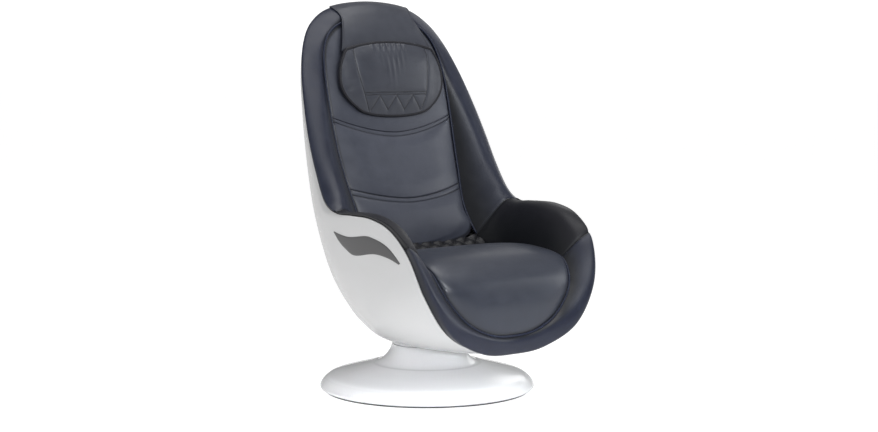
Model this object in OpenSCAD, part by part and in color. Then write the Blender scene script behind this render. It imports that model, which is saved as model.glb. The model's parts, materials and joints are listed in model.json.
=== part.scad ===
// Reclined egg-shaped massage lounge chair on a round swivel pedestal.
// Millimetres, +Z up, the sitter faces -Y, origin on the swivel axis at floor level.
// The upholstery and the shell are swept from five hand-drawn curves that run round one half of
// the rim, from the crown (t = 0) to the middle of the front lip (t = 1), and are mirrored in x = 0.

/* [Shell and upholstery] */
// Wall of the moulded outer shell
shell_wall = 5; // [3:0.5:6]
// Thickness of the back pad at its edge, thin so that the rollers are felt through it
pad_edge = 16; // [10:1:20]
// Extra thickness of the back pad along its middle
pad_crown = 12; // [6:1:14]
// Width of the head pillow
pillow_w = 392; // [320:2:400]
// Height of the head pillow
pillow_h = 230; // [180:2:240]
// Thickness of the leather straps and flaps
flap_t = 2.4; // [1.6:0.2:3]

/* [Pedestal] */
// Outer radius of the pedestal at its rolled edge
foot_r = 329; // [300:1:360]
// Radius of the pedestal's neck
neck_r = 112; // [106:1:118]
// Height of the top of the neck
neck_top = 142; // [140:0.5:143]
// Wall of the pedestal cover
cover_wall = 4; // [3:0.5:6]
// Outer radius of the steel column
column_r = 42; // [38:1:44]

/* [Massage mechanism] */
// Lean of the guide rails from vertical, in degrees
recline = 17.5; // [16:0.5:18.5]
// Stroke of the roller carriage along its rails
stroke = 270; // [200:10:270]
// Radius of a massage roller head
roller_r = 20; // [16:1:21]
// Length of a massage roller head
roller_len = 24; // [18:1:26]
// Diameter of the guide rails and of the lead screw
rod_d = 12; // [10:1:12]
// Distance of each guide rail from the middle
rail_x = 125; // [122:1:126]

/* [Smoothness] */
// Rings along the crown and wings
rings = 48; // [36:2:60]

/* [Hidden] */
$fn = 64;
run_fit = 0.05;
rod_r = rod_d / 2;

// ---- Driving curves, right half, crown to front lip --------------------------------------------
// Edge of the shell, under the leather roll
EDGE = [[0, 324, 1168], [137, 321, 1155], [216, 304, 1116], [262, 279, 1055], [290, 244, 966],
    [309, 200, 861], [322, 160, 765], [331, 116, 672], [341, 57, 589], [351, -17, 562],
    [355, -103, 561], [355, -193, 557], [349, -278, 528], [341, -350, 459], [317, -394, 346],
    [243, -402, 237], [115, -389, 175], [0, -383, 163]];
// Crest of the leather roll
CREST = [[0, 304, 1187], [141, 301, 1171], [222, 288, 1126], [271, 262, 1060], [305, 222, 969],
    [327, 176, 868], [341, 132, 773], [348, 85, 679], [354, 31, 597], [354, -30, 566],
    [355, -106, 569], [355, -197, 567], [350, -292, 541], [339, -375, 470], [305, -421, 348],
    [231, -427, 232], [114, -415, 173], [0, -407, 161]];
// Where the roll turns inwards to the padded wall
INNER = [[0, 267, 1171], [116, 266, 1154], [185, 257, 1110], [230, 238, 1053], [253, 206, 968],
    [272, 158, 869], [285, 114, 776], [292, 68, 686], [298, 18, 610], [299, -22, 558],
    [296, -102, 556], [296, -196, 552], [302, -291, 522], [302, -366, 448], [272, -414, 342],
    [208, -424, 261], [102, -421, 212], [0, -416, 195]];
// Groove between the padded wall and the back pad or the seat cushion
GROOVE = [[0, 256, 1138], [110, 256, 1128], [176, 252, 1100], [214, 238, 1046], [229, 214, 965],
    [231, 186, 860], [228, 160, 762], [221, 128, 665], [209, 79, 543], [230, 19, 443],
    [257, -59, 422], [262, -153, 429], [257, -259, 431], [254, -341, 407], [233, -385, 338],
    [167, -402, 262], [84, -406, 222], [0, -404, 213]];
// Ridge of the shell down the middle of its back and along its belly
SPINE = [[0, 338, 1125], [0, 340, 1085], [0, 341, 1040], [0, 341, 985], [0, 339, 915],
    [0, 333, 835], [0, 323, 755], [0, 309, 670], [0, 292, 580], [0, 276, 490], [0, 258, 395],
    [0, 226, 305], [0, 176, 235], [0, 112, 185], [0, 20, 152], [0, -110, 146], [0, -250, 148],
    [0, -350, 158]];
// Edge and middle line of the back pad, top to bottom
PAD_EDGE = [[0, 256, 1138], [110, 256, 1128], [176, 252, 1100], [214, 238, 1046], [229, 214, 965],
    [231, 186, 860], [228, 160, 762], [221, 128, 665], [209, 79, 543], [215, 45, 483],
    [160, 33, 448], [0, 33, 434]];
PAD_MID = [[0, 254, 1120], [0, 250, 1100], [0, 244, 1072], [0, 230, 1030], [0, 202, 960],
    [0, 175, 860], [0, 149, 762], [0, 117, 665], [0, 66, 560], [0, 48, 506], [0, 40, 474],
    [0, 36, 452]];
// Middle line of the seat cushion's top and of its underside, from the rear to the front lip
SEAT_TOP = [[0, 16, 427], [0, -60, 432], [0, -150, 446], [0, -240, 452], [0, -330, 438],
    [0, -394, 383], [0, -414, 318], [0, -412, 262], [0, -408, 224]];
SEAT_UNDER = [[0, 16, 352], [0, -60, 352], [0, -150, 352], [0, -235, 352], [0, -305, 352],
    [0, -335, 325], [0, -352, 280], [0, -366, 248], [0, -392, 220]];

STEPS = len(EDGE) - 1;
// Stations of the sewn seams that part the rim upholstery, as curve parameters
WING_SEAM = 8.8 / STEPS;
FRONT_SEAM = 12.75 / STEPS;
SEAM_GAP = 0.03 / STEPS;
// Station where the seat cushion starts
SEAT_START = 9.72 / STEPS;

// ---- Curve and surface functions ----------------------------------------------------------------
function flip(p) = [-p[0], p[1], p[2]];
function unit(v) = v / max(norm(v), 1e-9);
function clamp(v, low, high) = min(max(v, low), high);

// Catmull-Rom step from b to c, with the neighbours a and d
function blend4(a, b, c, d, f) =
    0.5 * (2 * b + (c - a) * f + (2 * a - 5 * b + 4 * c - d) * f * f + (3 * b - a - 3 * c + d) * f * f * f);

// Smooth curve through the points of P; both ends continue as the curve's own mirror image
function curve(P, t) =
    let(n = len(P) - 1, s = clamp(t, 0, 1) * n, i = min(floor(s), n - 1), f = s - i,
        a = i == 0 ? flip(P[1]) : P[i - 1], b = P[i], c = P[i + 1],
        d = i + 2 > n ? flip(P[n - 1]) : P[i + 2])
    blend4(a, b, c, d, f);

// The same curve run past its ends onto the other half of the body
function rim(P, s) = s < 0 ? flip(curve(P, -s)) : s > 1 ? flip(curve(P, 2 - s)) : curve(P, s);

// Point between a middle line m and an edge point e on a rounded section; a runs from -90 to 90
function arch(m, e, q, a) =
    let(w = sign(a) * pow(abs(sin(a)), 2 / q), h = 1 - pow(max(cos(a), 0), 2 / q))
    [e[0] * w, m[1] + (e[1] - m[1]) * h, m[2] + (e[2] - m[2]) * h];

// Sections are elliptical at the head and squarer round the seat bowl
function squareness(t) = 2 + 0.55 * pow(sin(180 * clamp((t - 0.3) / 0.8, 0, 1)), 2);
function shell_point(t, a) =
    t < 0 ? shell_point(-t, -a) : t > 1 ? shell_point(2 - t, -a) :
    let(b = clamp(a, -90, 90)) arch(curve(SPINE, t), curve(EDGE, t), squareness(t), b);
function shell_inward(t, a) =
    let(down = shell_point(t + 0.006, a) - shell_point(t - 0.006, a),
        across = shell_point(t, a + 2) - shell_point(t, a - 2))
    unit(cross(down, across));
function shell_grid(ts, as, depth) =
    [for (t = ts) [for (a = as) shell_point(t, a) + depth * shell_inward(t, a)]];

// Closed solid between two grids of points. far lies on the side that cross(down, across) points to.
// keep(i, j) says whether a cell is there. fold_first and fold_last join an end row to its own mirror
// image.
module thick_sheet(near, far, fold_first = false, fold_last = false, keep = function(i, j) true) {
    rows = len(near);
    cols = len(near[0]);
    fold = function(i, j) (i == 0 && fold_first) || (i == rows - 1 && fold_last) ? max(j, cols - 1 - j) : j;
    id = function(i, j, side) (side * rows + i) * cols + fold(i, j);
    there = function(i, j) j >= 0 && j < cols - 1 && ((i < 0 && fold_first) || (i >= rows - 1 && fold_last)
        || (i >= 0 && i < rows - 1 && keep(i, j)));
    cells = [for (i = [0:rows - 2]) for (j = [0:cols - 2]) if (keep(i, j)) [i, j]];
    skins = [for (c = cells) let(i = c[0], j = c[1], low = i + 1, next = j + 1) each [
        [id(i, j, 0), id(low, j, 0), id(low, next, 0)],
        [id(i, j, 0), id(low, next, 0), id(i, next, 0)],
        [id(i, j, 1), id(low, next, 1), id(low, j, 1)],
        [id(i, j, 1), id(i, next, 1), id(low, next, 1)]]];
    edges = [for (c = cells) let(i = c[0], j = c[1]) each [
        if (!there(i, j - 1)) [[i, j], [i + 1, j]],
        if (!there(i + 1, j)) [[i + 1, j], [i + 1, j + 1]],
        if (!there(i, j + 1)) [[i + 1, j + 1], [i, j + 1]],
        if (!there(i - 1, j)) [[i, j + 1], [i, j]]]];
    walls = [for (e = edges) let(p0 = id(e[0][0], e[0][1], 0), q0 = id(e[1][0], e[1][1], 0),
        p1 = id(e[0][0], e[0][1], 1), q1 = id(e[1][0], e[1][1], 1)) each [[q0, p0, p1], [q0, p1, q1]]];
    polyhedron([for (g = [near, far]) for (row = g) each row], concat(skins, walls), convexity = 10);
}

// Closed solid through rings of points, capped at both ends
module loft(r) {
    n = len(r[0]);
    m = len(r);
    sides = [for (i = [0:m - 2]) for (j = [0:n - 1]) let(k = (j + 1) % n) each [
        [i * n + j, (i + 1) * n + j, (i + 1) * n + k], [i * n + j, (i + 1) * n + k, i * n + k]]];
    caps = [for (j = [1:n - 2]) each [[0, j, j + 1], [(m - 1) * n, (m - 1) * n + j + 1, (m - 1) * n + j]]];
    polyhedron([for (ring = r) each ring], concat(sides, caps), convexity = 10);
}

// Points along the leather, from the shell's edge (k = 0) over the crest and the inner corner to the
// groove (k = 3)
function roll_point(s, k) =
    let(e = rim(EDGE, s), c = rim(CREST, s), i = rim(INNER, s), g = rim(GROOVE, s),
        e1 = e + 2.2 * unit(c - e), before = e1 + (e1 - c) * 0.6 + (e1 - i) * 0.35,
        after = g + (g - i) * 0.2 + (e - g) * 0.25, P = [before, e1, c, i, g, after],
        n = min(floor(k), 2))
    blend4(P[n], P[n + 1], P[n + 2], P[n + 3], k - n);
// The hidden side of the bolster: behind the groove, then inside the shell's edge
function roll_ring(s) =
    let(e = rim(EDGE, s), i = rim(INNER, s), g = rim(GROOVE, s))
    concat([for (k = [0:0.25:3]) roll_point(s, k)],
        [g + 14 * unit(e - i), roll_point(s, 0) + 9 * unit(i - e)]);
module bolster(s0, s1, steps) {
    loft([for (i = [0:steps]) roll_ring(s0 + (s1 - s0) * i / steps)]);
}

// ---- Pedestal and swivel --------------------------------------------------------------------------
PAD_T = 4;
PLATE_T = 8;
PLATE_TOP = PAD_T + PLATE_T;
COLUMN_TOP = 112;
BALL_R = 5;
BALL_CIRCLE = 48;
BALL_Z = COLUMN_TOP + 8.5;
HUB_TOP = 180;
module bolt_circle(r, count) {
    for (k = [0:count - 1]) rotate((k + 0.5) * 360 / count) translate([r, 0, 0]) children();
}
module cap_bolt(d, length) {
    cylinder(d = d, h = length);
    translate([0, 0, length]) difference() {
        cylinder(d = d * 1.6, h = d);
        translate([0, 0, d * 0.5]) cylinder(d = d, h = d, $fn = 6);
    }
}
module floor_pad() {
    color("dimgray") cylinder(r = foot_r - 14, h = PAD_T);
}
module base_plate() {
    color("silver") translate([0, 0, PAD_T]) difference() {
        cylinder(r = foot_r - 12, h = PLATE_T);
        bolt_circle(70, 6) translate([0, 0, -1]) cylinder(d = 8.4, h = PLATE_T + 2);
    }
}
module base_bolts() {
    color("gray") bolt_circle(70, 6) translate([0, 0, PAD_T + 0.5]) cap_bolt(8, PLATE_T + 8);
}
module column_tube() {
    color("silver") difference() {
        union() {
            translate([0, 0, PLATE_TOP]) cylinder(r = 88, h = 8);
            translate([0, 0, PLATE_TOP]) cylinder(r = column_r, h = COLUMN_TOP - PLATE_TOP);
            translate([0, 0, COLUMN_TOP - 8]) cylinder(r = 62, h = 8);
            for (k = [0:3]) rotate(k * 90) translate([column_r - 2, -3, PLATE_TOP + 8]) rotate([90, 0, 90])
                linear_extrude(6) polygon([[0, 0], [6, 0], [6, 40], [0, 40]]);
        }
        translate([0, 0, PLATE_TOP - 1]) cylinder(r = column_r - 5, h = COLUMN_TOP);
        bolt_circle(70, 6) translate([0, 0, PLATE_TOP - 1]) cylinder(d = 8.4, h = 10);
    }
}
// Rolled edge, shallow slope and a flare that ends upright at the neck
module pedestal_cover() {
    slope = [[foot_r - 10, PAD_T + 1], [foot_r - 3, 8], [foot_r, 15], [foot_r - 3, 23], [foot_r - 9, 32],
        [foot_r - 18, 40.5], [foot_r - 34, 49.5], [foot_r - 78, 62], [foot_r - 128, 75]];
    flare = [for (a = [0:9:90])
        [neck_r - 4 + 60 * pow(1 - sin(a), 1.3), 84 + (neck_top - 84) * pow(sin(a), 1.8)]];
    outer = concat(slope, flare);
    last = len(outer) - 1;
    inner = [for (k = [0:last]) let(d = outer[min(k + 1, last)] - outer[max(k - 1, 0)])
        outer[k] + cover_wall * unit([-d[1], d[0]])];
    color("white") rotate_extrude($fn = 96) polygon(concat(outer, [for (k = [0:last]) inner[last - k]]));
}
module race(z) {
    translate([0, 0, z]) difference() {
        cylinder(r = 60, h = 6);
        translate([0, 0, -1]) cylinder(r = 35, h = 8);
        translate([0, 0, BALL_Z - z]) rotate_extrude() translate([BALL_CIRCLE, 0])
            circle(r = BALL_R + run_fit);
    }
}
module bearing_lower_race() {
    color("lightgray") race(COLUMN_TOP);
}
module bearing_balls() {
    color("gainsboro") for (k = [0:13]) rotate(k * 360 / 14) translate([BALL_CIRCLE, 0, BALL_Z])
        sphere(r = BALL_R);
}
module bearing_upper_race() {
    color("lightgray") race(COLUMN_TOP + 11);
}
module swivel_hub() {
    top = COLUMN_TOP + 17;
    color("silver") difference() {
        union() {
            translate([0, 0, 40]) cylinder(r = 30, h = top - 40 + 1);
            translate([0, 0, top]) cylinder(r = 92, h = 8);
            translate([0, 0, top]) cylinder(r = 55, h = HUB_TOP - top);
        }
        translate([0, 0, 39]) cylinder(r = 24, h = HUB_TOP);
        bolt_circle(42, 4) translate([0, 0, HUB_TOP - 16]) cylinder(d = 7, h = 20);
    }
}
module swivel_bolts() {
    color("gray") bolt_circle(42, 4) translate([0, 0, HUB_TOP - 15]) cap_bolt(7, 22);
}

// Collar moulded to follow the belly of the shell; it hides the hub and turns above the neck
module swivel_collar() {
    r = neck_r - 5;
    ts = spread(0.64, 1, 14);
    as = spread(-63, 63, 12);
    color("white") difference() {
        translate([0, 0, neck_top + 1.5]) cylinder(r = r, h = 60);
        translate([0, 0, neck_top]) cylinder(r = r - 5, h = 70);
        thick_sheet(shell_grid(ts, as, -1), shell_grid(ts, as, 70), false, true);
    }
}

// ---- Seat structure ------------------------------------------------------------------------------
TUBE_Z = 310;
TUBE_H = 30;
TUBE_X = 160;
LEG_X = 65;
module box(x0, x1, y0, y1, z0, z1) {
    translate([x0, y0, z0]) cube([x1 - x0, y1 - y0, z1 - z0]);
}
module seat_frame() {
    color("dimgray") difference() {
        union() {
            box(-80, 80, -90, 60, HUB_TOP, HUB_TOP + 6);
            for (x = [-LEG_X, LEG_X]) for (y = [-75, 45])
                box(x - 12, x + 12, y - 12, y + 12, HUB_TOP + 6, TUBE_Z);
            for (x = [-TUBE_X, TUBE_X]) box(x - 14, x + 14, -262, 128, TUBE_Z, TUBE_Z + TUBE_H);
            for (y = [-248, -75, 45, 114]) box(-TUBE_X, TUBE_X, y - 12, y + 12, TUBE_Z, TUBE_Z + TUBE_H);
            box(-289.2, 289.2, -87, -63, TUBE_Z + 6, TUBE_Z + 24);
            for (x = [-168.2, 168.2]) box(x - 2, x + 2, 76, 132, TUBE_Z, TUBE_Z + 116);
        }
        bolt_circle(42, 4) translate([0, 0, HUB_TOP - 1]) cylinder(d = 7.4, h = 8);
        translate([0, 0, HUB_TOP - 1]) cylinder(r = 24, h = 8);
        frame_bolt_places() rotate([0, 90, 0]) translate([0, 0, -10]) cylinder(d = 8.4, h = 20);
    }
}
module seat_board() {
    color("burlywood") difference() {
        box(-186, 186, -286, 26, TUBE_Z + TUBE_H + 0.3, TUBE_Z + TUBE_H + 10);
        for (x = [-60, 60]) for (y = [-200, -130, -20]) translate([x, y, TUBE_Z + TUBE_H - 1])
            cylinder(d = 12, h = 20);
    }
}
module power_supply() {
    color("silver") difference() {
        box(-70, 70, -222, -98, 286, 339);
        for (k = [0:7]) box(-71, -60, -212 + k * 14, -206 + k * 14, 296, 330);
        for (k = [0:7]) box(60, 71, -212 + k * 14, -206 + k * 14, 296, 330);
    }
}
module control_box() {
    color("black") union() {
        box(-70, 70, -56, 26, 292, 339);
        for (k = [0:4]) box(-56 + k * 24, -40 + k * 24, -50, -38, 284, 292);
    }
}
module vibration_motors() {
    color("gray") for (x = [-110, 110]) translate([x, 0, 321]) {
        translate([0, -190, 0]) rotate([-90, 0, 0]) cylinder(r = 16, h = 56);
        translate([0, -202, 0]) rotate([-90, 0, 0]) cylinder(r = 5, h = 12);
        box(-22, 22, -178, -146, 15, 18.6);
        for (k = [-1, 1]) translate([k * 16.4, 0, 0]) box(-1.6, 1.6, -178, -146, -6, 18.6);
    }
}

// ---- Shell ---------------------------------------------------------------------------------------
// The rear service panel fills the cells between these stations and angles
PANEL_T = [0.2, 0.64];
PANEL_A = 42;
function spread(from, to, steps) = [for (k = [0:steps]) from + (to - from) * k / steps];
shell_ts = concat(spread(0, PANEL_T[0], 8), [for (k = [1:14]) spread(PANEL_T[0], PANEL_T[1], 14)[k]],
    [for (k = [1:14]) spread(PANEL_T[1], 1, 14)[k]]);
shell_as = concat(spread(-90, -PANEL_A, 7), [for (k = [1:8]) spread(-PANEL_A, PANEL_A, 8)[k]],
    [for (k = [1:7]) spread(PANEL_A, 90, 7)[k]]);
module shell_body() {
    outside_panel = function(i, j) !(i >= 8 && i < 22 && j >= 7 && j < 15);
    color("white") difference() {
        thick_sheet(shell_grid(shell_ts, shell_as, 0), shell_grid(shell_ts, shell_as, shell_wall), true, true,
            outside_panel);
        translate([0, 0, 100]) cylinder(r = 60, h = 80);
    }
}
INLET_TILT = 15;
module inlet_place() {
    translate([0, 259, 396]) rotate([-INLET_TILT, 0, 0]) children();
}
module shell_back_panel() {
    ts = spread(PANEL_T[0] + 0.002, PANEL_T[1] - 0.002, 14);
    as = spread(-PANEL_A + 0.5, PANEL_A - 0.5, 8);
    color("white") difference() {
        thick_sheet(shell_grid(ts, as, 0), shell_grid(ts, as, shell_wall));
        inlet_place() box(-44, 44, -40, 6, -17, 17);
        for (z = [700:16:796]) box(-70, 70, 280, 360, z, z + 6);
        panel_screw_places() translate([0, 0, -20]) cylinder(r = 2.6, h = 30);
    }
}
module panel_screw_places() {
    for (t = [0.235, 0.42, 0.605]) for (a = [-37, 37]) {
        n = -shell_inward(t, a);
        translate(shell_point(t, a)) rotate([0, acos(n[2]), atan2(n[1], n[0])]) children();
    }
}
module panel_screws() {
    color("gray") panel_screw_places() {
        union() {
            translate([0, 0, -14]) cylinder(r = 2.4, h = 14.8);
            translate([0, 0, 0.8]) difference() {
                cylinder(r1 = 6.5, r2 = 4.5, h = 2.4);
                translate([0, 0, 1]) cylinder(r = 2, h = 2, $fn = 6);
            }
        }
    }
}
INLAY_TOP = [[0.595, 76.8], [0.63, 79.1], [0.645, 80.8], [0.67, 84.7], [0.694, 86.1],
    [0.725, 87.3], [0.763, 87.8]];
INLAY_LOW = [[0.595, 76.2], [0.626, 74.4], [0.656, 74.1], [0.685, 75.2], [0.714, 81.8],
    [0.74, 85.2], [0.763, 87.3]];
module side_inlay(side) {
    path = function(P, u) let(n = len(P) - 1, i = min(floor(u * n), n - 1), f = u * n - i)
        P[i] * (1 - f) + P[i + 1] * f;
    us = spread(0, 1, 24);
    vs = side > 0 ? [0, 0.33, 0.67, 1] : [1, 0.67, 0.33, 0];
    grid = function(depth) [for (u = us) [for (v = vs)
        let(p = path(INLAY_LOW, u) * (1 - v) + path(INLAY_TOP, u) * v)
        shell_point(p[0], side * p[1]) + depth * shell_inward(p[0], side * p[1])]];
    color("gray") thick_sheet(grid(-1.4), grid(-0.3));
}
module side_inlay_right() {
    side_inlay(-1);
}
module side_inlay_left() {
    side_inlay(1);
}

// ---- Upholstery ----------------------------------------------------------------------------------
module crown_bolster() {
    color("#2b3040") bolster(-WING_SEAM + SEAM_GAP, WING_SEAM - SEAM_GAP, rings);
}
module arm_bolster_left() {
    color("#20242f") bolster(WING_SEAM + SEAM_GAP, FRONT_SEAM - SEAM_GAP, 12);
}
module arm_bolster_right() {
    color("#20242f") mirror([1, 0, 0]) bolster(WING_SEAM + SEAM_GAP, FRONT_SEAM - SEAM_GAP, 12);
}
module front_bolster() {
    color("#2b3040") bolster(FRONT_SEAM + SEAM_GAP, 2 - FRONT_SEAM - SEAM_GAP, 26);
}
// Leather panels stop this far short of the groove that they share
GROOVE_GAP = 3;
function tucked(e, m) = e + GROOVE_GAP * unit(m - e);
BACKWARD = [0, cos(recline), -sin(recline)];
module back_pad() {
    as = spread(-90, 90, 18);
    ts = spread(0, 1, 26);
    front = [for (t = ts) let(m = curve(PAD_MID, t), e = tucked(curve(PAD_EDGE, t), m))
        [for (a = as) arch(m, e, 2.6, a)]];
    thickness = [for (a = as) pad_edge + (pad_crown - 2) * pow(cos(a), 0.8)];
    back = [for (row = front) [for (j = [0:18]) row[j] + BACKWARD * thickness[j]]];
    color("#4b4e59") thick_sheet(back, front, true, true);
}
module seat_cushion() {
    as = spread(-90, 90, 20);
    ts = spread(SEAT_START, 1, 22);
    along = function(t) (t * STEPS - 9) / (STEPS - 9);
    top = [for (t = ts) let(m = curve(SEAT_TOP, along(t)), e = tucked(curve(GROOVE, t), m))
        [for (a = as) arch(m, e, 4, a)]];
    under = [for (t = ts) let(m = curve(SEAT_UNDER, along(t)), g = tucked(curve(GROOVE, t), m),
        e = g + 10 * unit(m - curve(SEAT_TOP, along(t)))) [for (a = as) arch(m, e, 3.4, a)]];
    color("#3f424d") thick_sheet(under, top, false, true);
}
// Strip behind the seat; its ends rise with the groove and widen towards the front
module seat_rear_quilt() {
    section = function(u) let(up = 14 * pow(abs(u), 3)) [for (p = [[-27, 352], [-27, 406 + up / 3],
        [-22, 412 + up / 3], [22, 435 + up], [27, 433 + up], [27, 352]]) [u * (231 - 0.32 * p[0]), p[0], p[1]]];
    color("#3a3d48") loft([for (u = spread(1, -1, 24)) section(u)]);
}
// The strap lies on the crown; its front edge meets the flap that carries the pillow
STRAP_S = 1.2 / STEPS;
module crown_strap() {
    lift = function(s, k, d) let(along = roll_point(s + 0.01, k) - roll_point(s - 0.01, k),
        over = roll_point(s, k + 0.1) - roll_point(s, max(k - 0.1, 0)))
        roll_point(s, k) + d * unit(cross(over, along));
    ss = spread(-STRAP_S, STRAP_S, 16);
    ks = spread(0.35, 1.9, 10);
    grid = function(d) [for (k = ks) [for (s = ss) lift(s, k, d)]];
    color("#3f424d") thick_sheet(grid(2.2), grid(2.2 + flap_t));
}
PILLOW_Y = 179;
PILLOW_Z = 948;
PILLOW_TILT = 9;
module pillow_place() {
    translate([0, PILLOW_Y, PILLOW_Z]) rotate([-PILLOW_TILT, 0, 0]) children();
}
module head_pillow() {
    // Rounded rectangle, domed to the front; its back fills the hollow of the pad behind the head
    n = 20;
    grid = function(depth, lean, side) [for (i = [0:n]) [for (j = [0:n])
        let(u = 2 * j / n - 1, v = 1 - 2 * i / n,
            fu = u * sqrt(1 - 0.3 * v * v), fv = v * sqrt(1 - 0.34 * u * u),
            dome = pow(max(1 - pow(abs(u), 3), 0), 0.5) * pow(max(1 - pow(abs(v), 3), 0), 0.5))
        [fu * pillow_w / 2, side * (2 + (depth + lean * v) * dome), fv * pillow_h / 2]]];
    color("#454852") pillow_place() thick_sheet(grid(9, 8, 1), grid(18, 0, -1));
}
FLAP_W = 168;
FLIP_AXIS = [0, 264, 1171];
module pillow_flap() {
    top = function(x) roll_point(x / FLAP_W * STRAP_S, 2.05);
    n = 12;
    grid = function(d) [for (i = [0:8]) [for (j = [0:n])
        let(f = i / 8, x = FLAP_W * (2 * j / n - 1), a = top(x), b = [x, 214, 1034],
            sag = 10 * sin(180 * f))
        a * (1 - f) + b * f + [0, -d - 2 - sag * 0.4, d * 0.4 + 1]]];
    color("#4b4e59") thick_sheet(grid(0), grid(flap_t));
}

// ---- Massage mechanism, in the leaning frame of the guide rails --------------------------------------
// Local axes: x across, y backwards through the pad, z up along the rails
GUIDE_Y = 98;
ROLLER_Y = 66;
PIVOT_Y = 80;
ROLLER_Z = 50;
ARM_X = 50;
HOME_Z = 85;
RAIL_LOW = -45;
RAIL_HIGH = 437;
module lean() {
    translate([0, 72, 547]) rotate([-recline, 0, 0]) children();
}
module carriage() {
    lean() translate([0, 0, HOME_Z]) children();
}
// Cylinder along the local x axis from x0 to x1
module across(x0, x1, y, z, r) {
    translate([x0, y, z]) rotate([0, 90, 0]) cylinder(r = r, h = x1 - x0);
}
module frame_bolt_places() {
    for (x = [-1, 1]) for (z = [-172, -138]) lean() translate([x * 162, GUIDE_Y, z]) children();
}
module back_frame() {
    color("dimgray") difference() {
        lean() union() {
            for (x = [-156, 156]) box(x - 10, x + 10, GUIDE_Y - 13, GUIDE_Y + 13, -180, 445);
            box(-150, 150, GUIDE_Y - 13, GUIDE_Y + 13, -60, -30);
            box(-150, 150, GUIDE_Y - 13, GUIDE_Y + 13, 430, 445);
        }
        lean() for (x = [-rail_x, rail_x]) translate([x, GUIDE_Y, RAIL_LOW - 1])
            cylinder(r = rod_r + run_fit, h = 483);
        lean() translate([0, GUIDE_Y, -70]) cylinder(r = rod_r + run_fit, h = 510);
        frame_bolt_places() rotate([0, 90, 0]) translate([0, 0, -20]) cylinder(d = 8.4, h = 40);
    }
}
module frame_bolts() {
    color("gray") for (x = [-1, 1]) for (z = [-172, -138]) lean() translate([x * 144, GUIDE_Y, z])
        rotate([0, x * 90, 0]) cap_bolt(8, 26.6);
}
module rail(x) {
    color("lightgray") lean() translate([x, GUIDE_Y, RAIL_LOW]) cylinder(r = rod_r, h = RAIL_HIGH - RAIL_LOW);
}
module rail_right() {
    rail(-rail_x);
}
module rail_left() {
    rail(rail_x);
}
module drive_motor() {
    color("darkslategray") lean() union() {
        translate([0, GUIDE_Y, -128]) cylinder(r = 22, h = 58);
        translate([0, GUIDE_Y, -70]) cylinder(r = 26, h = 6);
        box(-28, 28, GUIDE_Y - 12, GUIDE_Y + 12, -64, -60.3);
        translate([0, GUIDE_Y, -134]) cylinder(r = 9, h = 7);
    }
}
module lead_screw() {
    color("lightgray") lean() union() {
        translate([0, GUIDE_Y, -59.8]) cylinder(r = rod_r, h = 498);
        translate([0, GUIDE_Y, -29]) cylinder(r = rod_r + 4, h = 8);
        translate([0, GUIDE_Y, 421]) cylinder(r = rod_r + 4, h = 8);
    }
}
module carriage_frame() {
    color("silver") difference() {
        carriage() union() {
            for (x = [-1, 1]) {
                box(min(x * 98, x * 104), max(x * 98, x * 104), 68, GUIDE_Y + 20, -50, 50);
                for (z = [-50, 22]) {
                    box(min(x * 98, x * 118), max(x * 98, x * 118), GUIDE_Y - 4, GUIDE_Y + 4, z, z + 28);
                    translate([x * rail_x, GUIDE_Y, z]) cylinder(r = 12, h = 28);
                }
            }
            box(-104, 104, GUIDE_Y + 16, GUIDE_Y + 20, -50, 50);
        }
        carriage() for (x = [-rail_x, rail_x]) translate([x, GUIDE_Y, -52]) cylinder(r = rod_r + 2, h = 104);
        carriage() across(-120, 120, PIVOT_Y, 0, 6 + run_fit);
        carriage() for (x = [-55, 55]) for (z = [-8, 26]) translate([x, GUIDE_Y + 10, z]) rotate([-90, 0, 0])
            cylinder(r = 9, h = 20);
    }
}
module slide_bushings() {
    color("ivory") carriage() for (x = [-rail_x, rail_x]) for (z = [-50, 22]) difference() {
        translate([x, GUIDE_Y, z]) cylinder(r = rod_r + 2, h = 28);
        translate([x, GUIDE_Y, z - 1]) cylinder(r = rod_r + run_fit, h = 30);
    }
}
module screw_nut() {
    color("goldenrod") carriage() difference() {
        box(-14, 14, GUIDE_Y - 13, GUIDE_Y + 15.8, -42, -16);
        translate([0, GUIDE_Y, -43]) cylinder(r = rod_r + run_fit, h = 30);
    }
}
module kneading_gearmotor() {
    color("darkslategray") carriage() union() {
        across(22, 78, GUIDE_Y + 2, -30, 13);
        box(78, 97, GUIDE_Y - 2, GUIDE_Y + 15.5, -46, 12);
        across(16, 22, GUIDE_Y + 2, -30, 5);
    }
}
module kneading_shaft() {
    color("lightgray") carriage() union() {
        across(-103, 103, PIVOT_Y, 0, 6);
        across(-ARM_X - 5, -ARM_X + 5, PIVOT_Y, 0, 10);
        across(ARM_X - 5, ARM_X + 5, PIVOT_Y, 0, 10);
        across(84, 95, PIVOT_Y, 0, 14);
    }
}
module arm_link(x, z) {
    length = norm([PIVOT_Y - ROLLER_Y, z]);
    translate([x - 4, PIVOT_Y, 0]) rotate([atan2(PIVOT_Y - ROLLER_Y, z), 0, 0]) translate([0, -8, 0])
        cube([8, 16, length]);
    across(x - 4, x + 4, ROLLER_Y, z, 9);
}
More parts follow.
